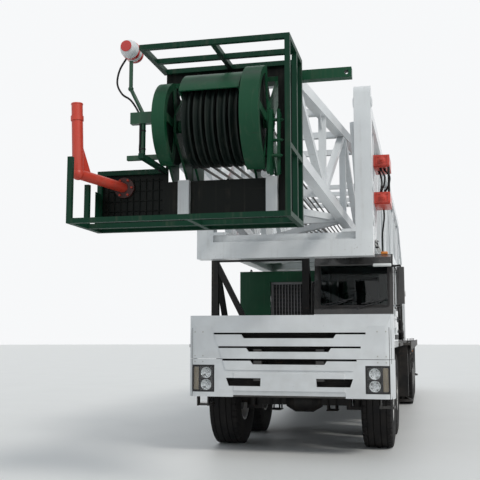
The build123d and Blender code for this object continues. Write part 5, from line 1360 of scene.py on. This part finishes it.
@dress("truck", "engine_paint")
def engine_dress():
    """On the engine block: rocker covers, exhaust manifolds, oil filters, the fan's drive and the
    air pipe."""
    filter_can = [(0, 0.05), (0.01, 0.055), (0.2, 0.055), (0.21, 0.045), (0.215, 0.002)]
    drive = [(0, 0.2), (0.02, 0.21), (0.06, 0.21), (0.07, 0.16), (0.1, 0.15), (0.105, 0.002)]
    shapes = []
    for x in (-0.3, 0.3):
        for y in CYLINDER_Y:
            shapes += [soft_box((x - 0.1, y - 0.11, 2.11), (x + 0.1, y + 0.11, 2.19), 0.03, 5),
                       copies(turned(bolt(0.018), STANDING), [(x, y - 0.06, 2.188), (x, y + 0.06, 2.188)])]
    for side in (-1, 1):
        for y in CYLINDER_Y:
            port = [(side * 0.47, y, 1.95), (side * 0.55, y, 1.95), (side * 0.58, y + 0.03, 1.9)]
            shapes.append(tube(curve_through(port, 4), 0.032, 12))
        shapes += [tube(np.linspace((side * 0.58, 2.8, 1.88), (side * 0.58, 4.25, 1.88), 3), 0.05, 16),
                   lathe(filter_can, (side * 0.56, 3.1, 1.42), UP, 20)]
    return merge(*shapes, lathe(drive, (0, 2.7, 1.72), FORWARD, 36),
                 lathe([(0, 0.07), (0.05, 0.075), (0.3, 0.075), (0.35, 0.06)], (0, 4.0, 2.2), REARWARD, 24))


@dress("truck", "burnt_steel")
def exhaust_shields():
    """Heat shields round both silencers, band clamps, a stepped collar and a rim at the outlet."""
    body_r, y = 0.105, middle("exhausts")[1]
    shapes = []
    for side in (-1, 1):
        x = side * (box("exhausts")[1][0] - body_r)
        shapes += [band(0.014, body_r, 0.112, (x, y, z), UP) for z in (1.42, 1.7, 2.0)]
        angle = np.linspace(-1.2, 1.2, 17)
        bent = np.stack([side * np.cos(angle), np.sin(angle)], -1)
        shield = np.concatenate([0.128 * bent, 0.124 * bent[::-1]]) + (x, y)
        shapes += [prism(shield, 0.46, 2, 1.72),
                   lathe([(0, body_r), (0.03, 0.085), (0.06, 0.056), (0.07, 0.052)], (x, y, 2.08), UP, 28),
                   band(0.01, 0.05, 0.056, (x, y, 2.41), UP, 28)]
    return merge(*shapes)


@dress("truck", "green_paint")
def tank_fittings():
    """The oil tank's manhole and filler, frames on its sides, pipes to the pump, the gearbox's ribs
    and its rear flange."""
    manhole = np.array([0, 5.7, 2.3])
    lid = [(0, 0.26), (0.02, 0.26), (0.024, 0.25), (0.03, 0.05), (0.03, 0.002)]
    filler = [(0, 0.05), (0.04, 0.05), (0.045, 0.065), (0.08, 0.062), (0.085, 0.002)]
    end = [(0, 0.16), (0.03, 0.16), (0.034, 0.1), (0.1, 0.09), (0.104, 0.002)]
    shapes = [lathe(lid, manhole, UP, 40),
              copies(turned(bolt(0.02), STANDING), ring(manhole + (0, 0, 0.02), 0.23, 12, axis=2)),
              lathe(filler, (0.35, 6.2, 2.3), UP, 24)]
    shapes += [rim((5.42, 1.5), (5.86, 1.9), 0.05, 0.03, span, 0)
               for span in ((0.62, 0.632), (-0.632, -0.62))]
    for x in (-0.25, 0.0, 0.25):
        pipe = [(x, 6.45, 1.6), (x, 6.75, 1.6), (x, 6.95, 1.8), (x, 7.2, 1.8), (x, 7.2, 1.74)]
        shapes.append(tube(rounded(pipe, 0.06), 0.03, 12))
    shapes += [soft_box((-0.425, y - 0.02, 1.35), (0.425, y + 0.02, 1.775), 0.01, 4) for y in (6.9, 7.6, 8.3)]
    return merge(*shapes, lathe(end, (0, box("machine_housings")[1][1], 1.56), REARWARD, 32))


# Chassis sides and tail

BOX_X = box("side_boxes")[1][0]
TANK_R = 0.16               # the tanks' rounded lower edge
# columns: side, front station, rear station, underside, rounded tank
SIDE_BOXES = ((1, 4.2, 5.6, 0.72, True), (1, 5.7, 6.5, 0.8, False), (1, 6.6, 7.6, 0.86, False),
              (-1, 4.2, 5.0, 0.8, False), (-1, 5.1, 6.7, 0.72, True), (-1, 6.8, 7.6, 0.86, False))


def locker_side(y0, y1, z0):
    """A locker's left face: a framed door with a lever and two hinges."""
    centre = (y0 + y1) / 2
    hinge = [(-0.04, 0.002), (-0.04, 0.009), (0.04, 0.009), (0.04, 0.002)]
    return merge(rim((y0 + 0.03, z0 + 0.03), (y1 - 0.03, 1.27), 0.02, 0.02, (BOX_X, BOX_X + 0.01), 0),
                 soft_box((BOX_X, centre - 0.05, z0 + 0.1), (BOX_X + 0.014, centre + 0.05, z0 + 0.16), 0.005),
                 *[lathe(hinge, (BOX_X + 0.01, y, 1.265), REARWARD, 12) for y in (y0 + 0.14, y1 - 0.14)])


def tank_side(y0, y1, z0):
    """A tank's left face: three straps bent round its lower edge, a filler and a level glass."""
    shapes = []
    face, reach = BOX_X + 0.004, TANK_R + 0.004
    turn = np.linspace(0, np.pi / 2, 10)
    for share in (0.14, 0.5, 0.86):
        y = y0 + (y1 - y0) * share
        bend = np.stack([reach * np.cos(turn), np.zeros(10), -reach * np.sin(turn)], -1)
        bend += (BOX_X - TANK_R, y, z0 + TANK_R)
        path = np.concatenate([[(face, y, 1.29), (face, y, z0 + 0.3)], bend, [(0.52, y, z0 - 0.004)]])
        shapes += [sweep(path, flat(0.006, 0.05), level=REARWARD),
                   moved(bolt(0.02), (BOX_X + 0.005, y, 1.24))]
    neck = [(-0.06, 0.045), (0.0, 0.045), (0.002, 0.056), (0.022, 0.056), (0.026, 0.048), (0.027, 0.002)]
    return merge(*shapes, lathe(neck, (BOX_X - 0.015, y0 + 0.35, 1.2), (0.8, 0, 0.6), 24),
                 rim((y0 + 0.6, 0.98), (y0 + 0.64, 1.2), 0.01, 0.01, (BOX_X, BOX_X + 0.008), 0))


@dress("truck", "black_paint")
def side_box_fittings():
    """The fittings of all boxes under the deck; a right side's are mirrored."""
    shapes = []
    for side, y0, y1, z0, tank in SIDE_BOXES:
        fitted = tank_side(y0, y1, z0) if tank else locker_side(y0, y1, z0)
        shapes.append(fitted if side > 0 else mirrored(fitted))
    return merge(*shapes)


@dress("truck", "amber")
def side_markers():
    """Three amber lamps along each side."""
    lens = soft_box((BOX_X, -0.035, -0.02), (BOX_X + 0.008, 0.035, 0.02), 0.003)
    return both(copies(lens, [(0, y, 1.16) for y in (4.6, 6.1, 7.1)]))


@dress("truck", "black_paint")
def rail_bolts():
    """Two rows of bolts along the outside of both frame rails, left out at the axle brackets."""
    rail_x, low, high = 0.43, 0.9, 1.3
    stations = np.arange(0.55, 13.3, 0.22)
    axles = [centre[1] for centre in (*FRONT_AXLES.values(), *REAR_AXLES.values())]
    brackets = np.array([*axles, *(middle(f"jack_{end}_l")[1] for end in ("front", "rear"))])
    stations = stations[np.min(np.abs(stations[:, None] - brackets), axis=1) >= 0.12]
    head = lathe([(0, 0.013), (0.008, 0.013), (0.012, 0.009)], sides=6)
    return both(copies(head, [(rail_x, y, z) for y in stations for z in (low + 0.06, high - 0.06)]))


@dress("truck", "black_paint")
def air_tanks():
    """Two compressed-air tanks between the rails with domed ends, straps and drain taps."""
    x, z, radius = 0.13, 0.93, 0.12
    tank = [(0, 0.002), (0.004, 0.06), (0.02, 0.1), (0.05, radius), (0.5, radius), (0.53, 0.1), (0.546, 0.06),
            (0.55, 0.002)]
    tap = [(0, 0.014), (0.02, 0.014), (0.022, 0.008), (0.04, 0.007)]
    one = merge(lathe(tank, (x, 0, z), REARWARD, 32),
                *[band(0.015, radius, 0.126, (x, y, z), REARWARD) for y in (0.12, 0.42)],
                lathe(tap, (x, 0.27, z - 0.118), DOWN, 10))
    return copies(one, [(0, 6.32, 0), (0, 7.02, 0)])


@dress("truck", "black_paint")
def deck_edges():
    """Raised angle strips along the deck's edges, sockets for lashings and a ring in each."""
    edge = box("deck")[1][0]
    shapes = [soft_box((edge - 0.014, 3.5, 1.338), (edge, 13.28, 1.362), 0.003, 2)]
    for y in np.arange(4.0, 13.0, 1.5):
        shapes += [tube(ring((1.32, y, 1.37), 0.032, 20), 0.006, closed=True, level=ACROSS),
                   soft_box((1.305, y - 0.022, 1.339), (1.335, y + 0.022, 1.352), 0.004)]
    return both(*shapes)


# Raising cylinders, jacks and mast foot

CYLINDER_X, BASE_PIN, HEAD_PIN = 0.955, np.array([12.4, 1.43]), np.array([9.95, 2.415])
REACH = np.linalg.norm(HEAD_PIN - BASE_PIN)
ALONG = (HEAD_PIN - BASE_PIN) / REACH


def on_axis(distance, lift=0.0):
    """A point along the left raising cylinder, lifted square to its axis."""
    y, z = BASE_PIN + ALONG * distance + lift * np.array([ALONG[1], -ALONG[0]])
    return np.array([CYLINDER_X, y, z])


@dress("cylinder_barrels", "cylinder_paint")
def barrel_fittings():
    """Clamp bands, a gland ring with bolts, port blocks and the oil pipe along each barrel."""
    axis, lift = (0, *ALONG), on_axis(0, 1) - on_axis(0)
    first, last, gland = 0.3, REACH - 0.64, REACH - 0.5
    gland_ring = [(0, 0.067), (0, 0.08), (0.02, 0.076), (0.024, 0.067)]
    port = [(0, 0.026), (0.03, 0.026), (0.034, 0.02), (0.04, 0.018)]
    pipe = [on_axis(first, 0.1), on_axis(first, 0.135), on_axis(last, 0.135), on_axis(last, 0.1)]
    bolts = turned(copies(bolt(0.018), ring((0, 0, 0), 0.095, 8)), axes_to(axis))
    return both(*[band(0.018, 0.104, 0.113, on_axis(at), axis, 36) for at in (0.32, 0.9, 1.5)],
                moved(bolts, on_axis(gland)),
                lathe(gland_ring, on_axis(gland), axis, 32, closed=True),
                tube(rounded(pipe, 0.03), 0.011),
                *[lathe(port, on_axis(at, 0.095), lift, 16) for at in (first, last)])


def jack_ribs():
    """Four ribs and a bolt ring on a jack's round pad, about its axis."""
    pad_top = 0.456
    rib = prism([(0.055, pad_top), (0.17, pad_top), (0.165, 0.464), (0.08, 0.492), (0.055, 0.492)], 0.012, 1)
    return merge(copies(rib, (0, 0, 0), about_z(np.arange(4) * np.pi / 2 + np.pi / 4)),
                 copies(turned(bolt(0.016), STANDING), ring((0, 0, pad_top - 0.001), 0.14, 8, axis=2)))


for corner in (f"{end}_{letter}" for end in ("front", "rear") for letter in SIDES):
    foot = middle(f"jack_{corner}") * (1, 1, 0)
    piece(f"jack_ribs_{corner}", moved(jack_ribs(), foot), f"jack_{corner}", "black_paint")


@dress("truck", "zinc")
def hinge_caps():
    """Keeper plates and bolts on the mast's hinge pins and the cylinders' base pins."""
    shapes = []
    for x, y, z, r in ((1.095, 13.0, 2.6, 0.062), (1.05, *BASE_PIN, 0.048)):
        top = z + r
        shapes += [lathe([(0, r), (0.012, r), (0.016, r - 0.008), (0.017, 0.002)], (x, y, z), ACROSS, 28),
                   soft_box((x - 0.014, y - 0.02, top - 0.02), (x + 0.006, y + 0.02, top + 0.035), 0.004),
                   moved(bolt(0.014), (x + 0.004, y, top + 0.02))]
    return both(*shapes)


@dress("truck", "bare_steel")
def screw_feet():
    """The rear posts' screws: a thread of fine rings, a nut and a bar through the screw."""
    x, y, thread_r = 0.955, 13.9, 0.046
    z = np.linspace(0.445, 0.745, 61)
    radius = thread_r + 0.004 * (np.arange(61) % 2)
    return both(lathe(np.stack([z, radius], -1), (x, y, 0), UP, 28),
                band(0.02, thread_r, 0.075, (x, y, 0.735), UP, 8),
                tube([(x - 0.16, y, 0.6), (x, y, 0.6), (x + 0.16, y, 0.6)], 0.009))


# Stage, light and camera

def backdrop():
    """Pale everywhere the camera or a reflection looks, and dimmer sky light for the surfaces."""
    world = bpy.data.worlds.new("studio")
    bpy.context.scene.world = world
    world.use_nodes = True
    tree = world.node_tree
    ray = add(tree, "ShaderNodeLightPath").outputs
    looked_at = times(tree, ray["Is Camera Ray"], ray["Is Glossy Ray"], "MAXIMUM")
    seen = times(tree, looked_at, ray["Is Transmission Ray"], "MAXIMUM")
    colour = blend(tree, seen, (0.86, 0.94, 1.0, 1), (0.93, 0.94, 0.95, 1))
    strength = ramp(tree, seen, 0.0, 1.0, 0.56, 1.0)
    light = tree.nodes["Background"]
    tree.links.new(colour, light.inputs["Color"])
    tree.links.new(strength, light.inputs["Strength"])


def floor():
    """A wide round floor whose top is at the road."""
    made, mesh = solid("studio_floor", lathe([(-0.02, 0.001), (-0.02, 150.0), (0.0, 150.0), (0.0, 0.001)],
                                             (0, 0, 0), UP, 96))
    pale, tree, principled = blank("floor_pale")
    shade = blend(tree, noise(tree, here(tree), 0.8, 4.0), (0.8, 0.8, 0.79, 1), (0.74, 0.74, 0.73, 1))
    tree.links.new(shade, principled.inputs["Base Color"])
    mesh.materials.append(pale)


def hang(name, data, direction):
    """A lamp or camera in the scene, turned to look along a direction."""
    made = bpy.data.objects.new(name, data)
    made.rotation_euler = Vector(direction).to_track_quat("-Z", "Y").to_euler()
    bpy.context.scene.collection.objects.link(made)
    return made


backdrop()
floor()
sun = bpy.data.lights.new("soft_sun", "SUN")
sun.energy, sun.angle, sun.color = 1.45, math.radians(14), (1.0, 0.97, 0.92)
hang("soft_sun", sun, (-0.62, 0.55, -0.75))

lens = bpy.data.cameras.new("view")
lens.lens, lens.sensor_width, lens.clip_end = 60.0, 36.0, 500.0
camera = hang("view", lens, (-0.2223, 0.9675, 0.1208))
camera.location = (1.608, -14.828, 1.423)
bpy.context.scene.camera = camera
bpy.context.scene.view_settings.view_transform = "Standard"
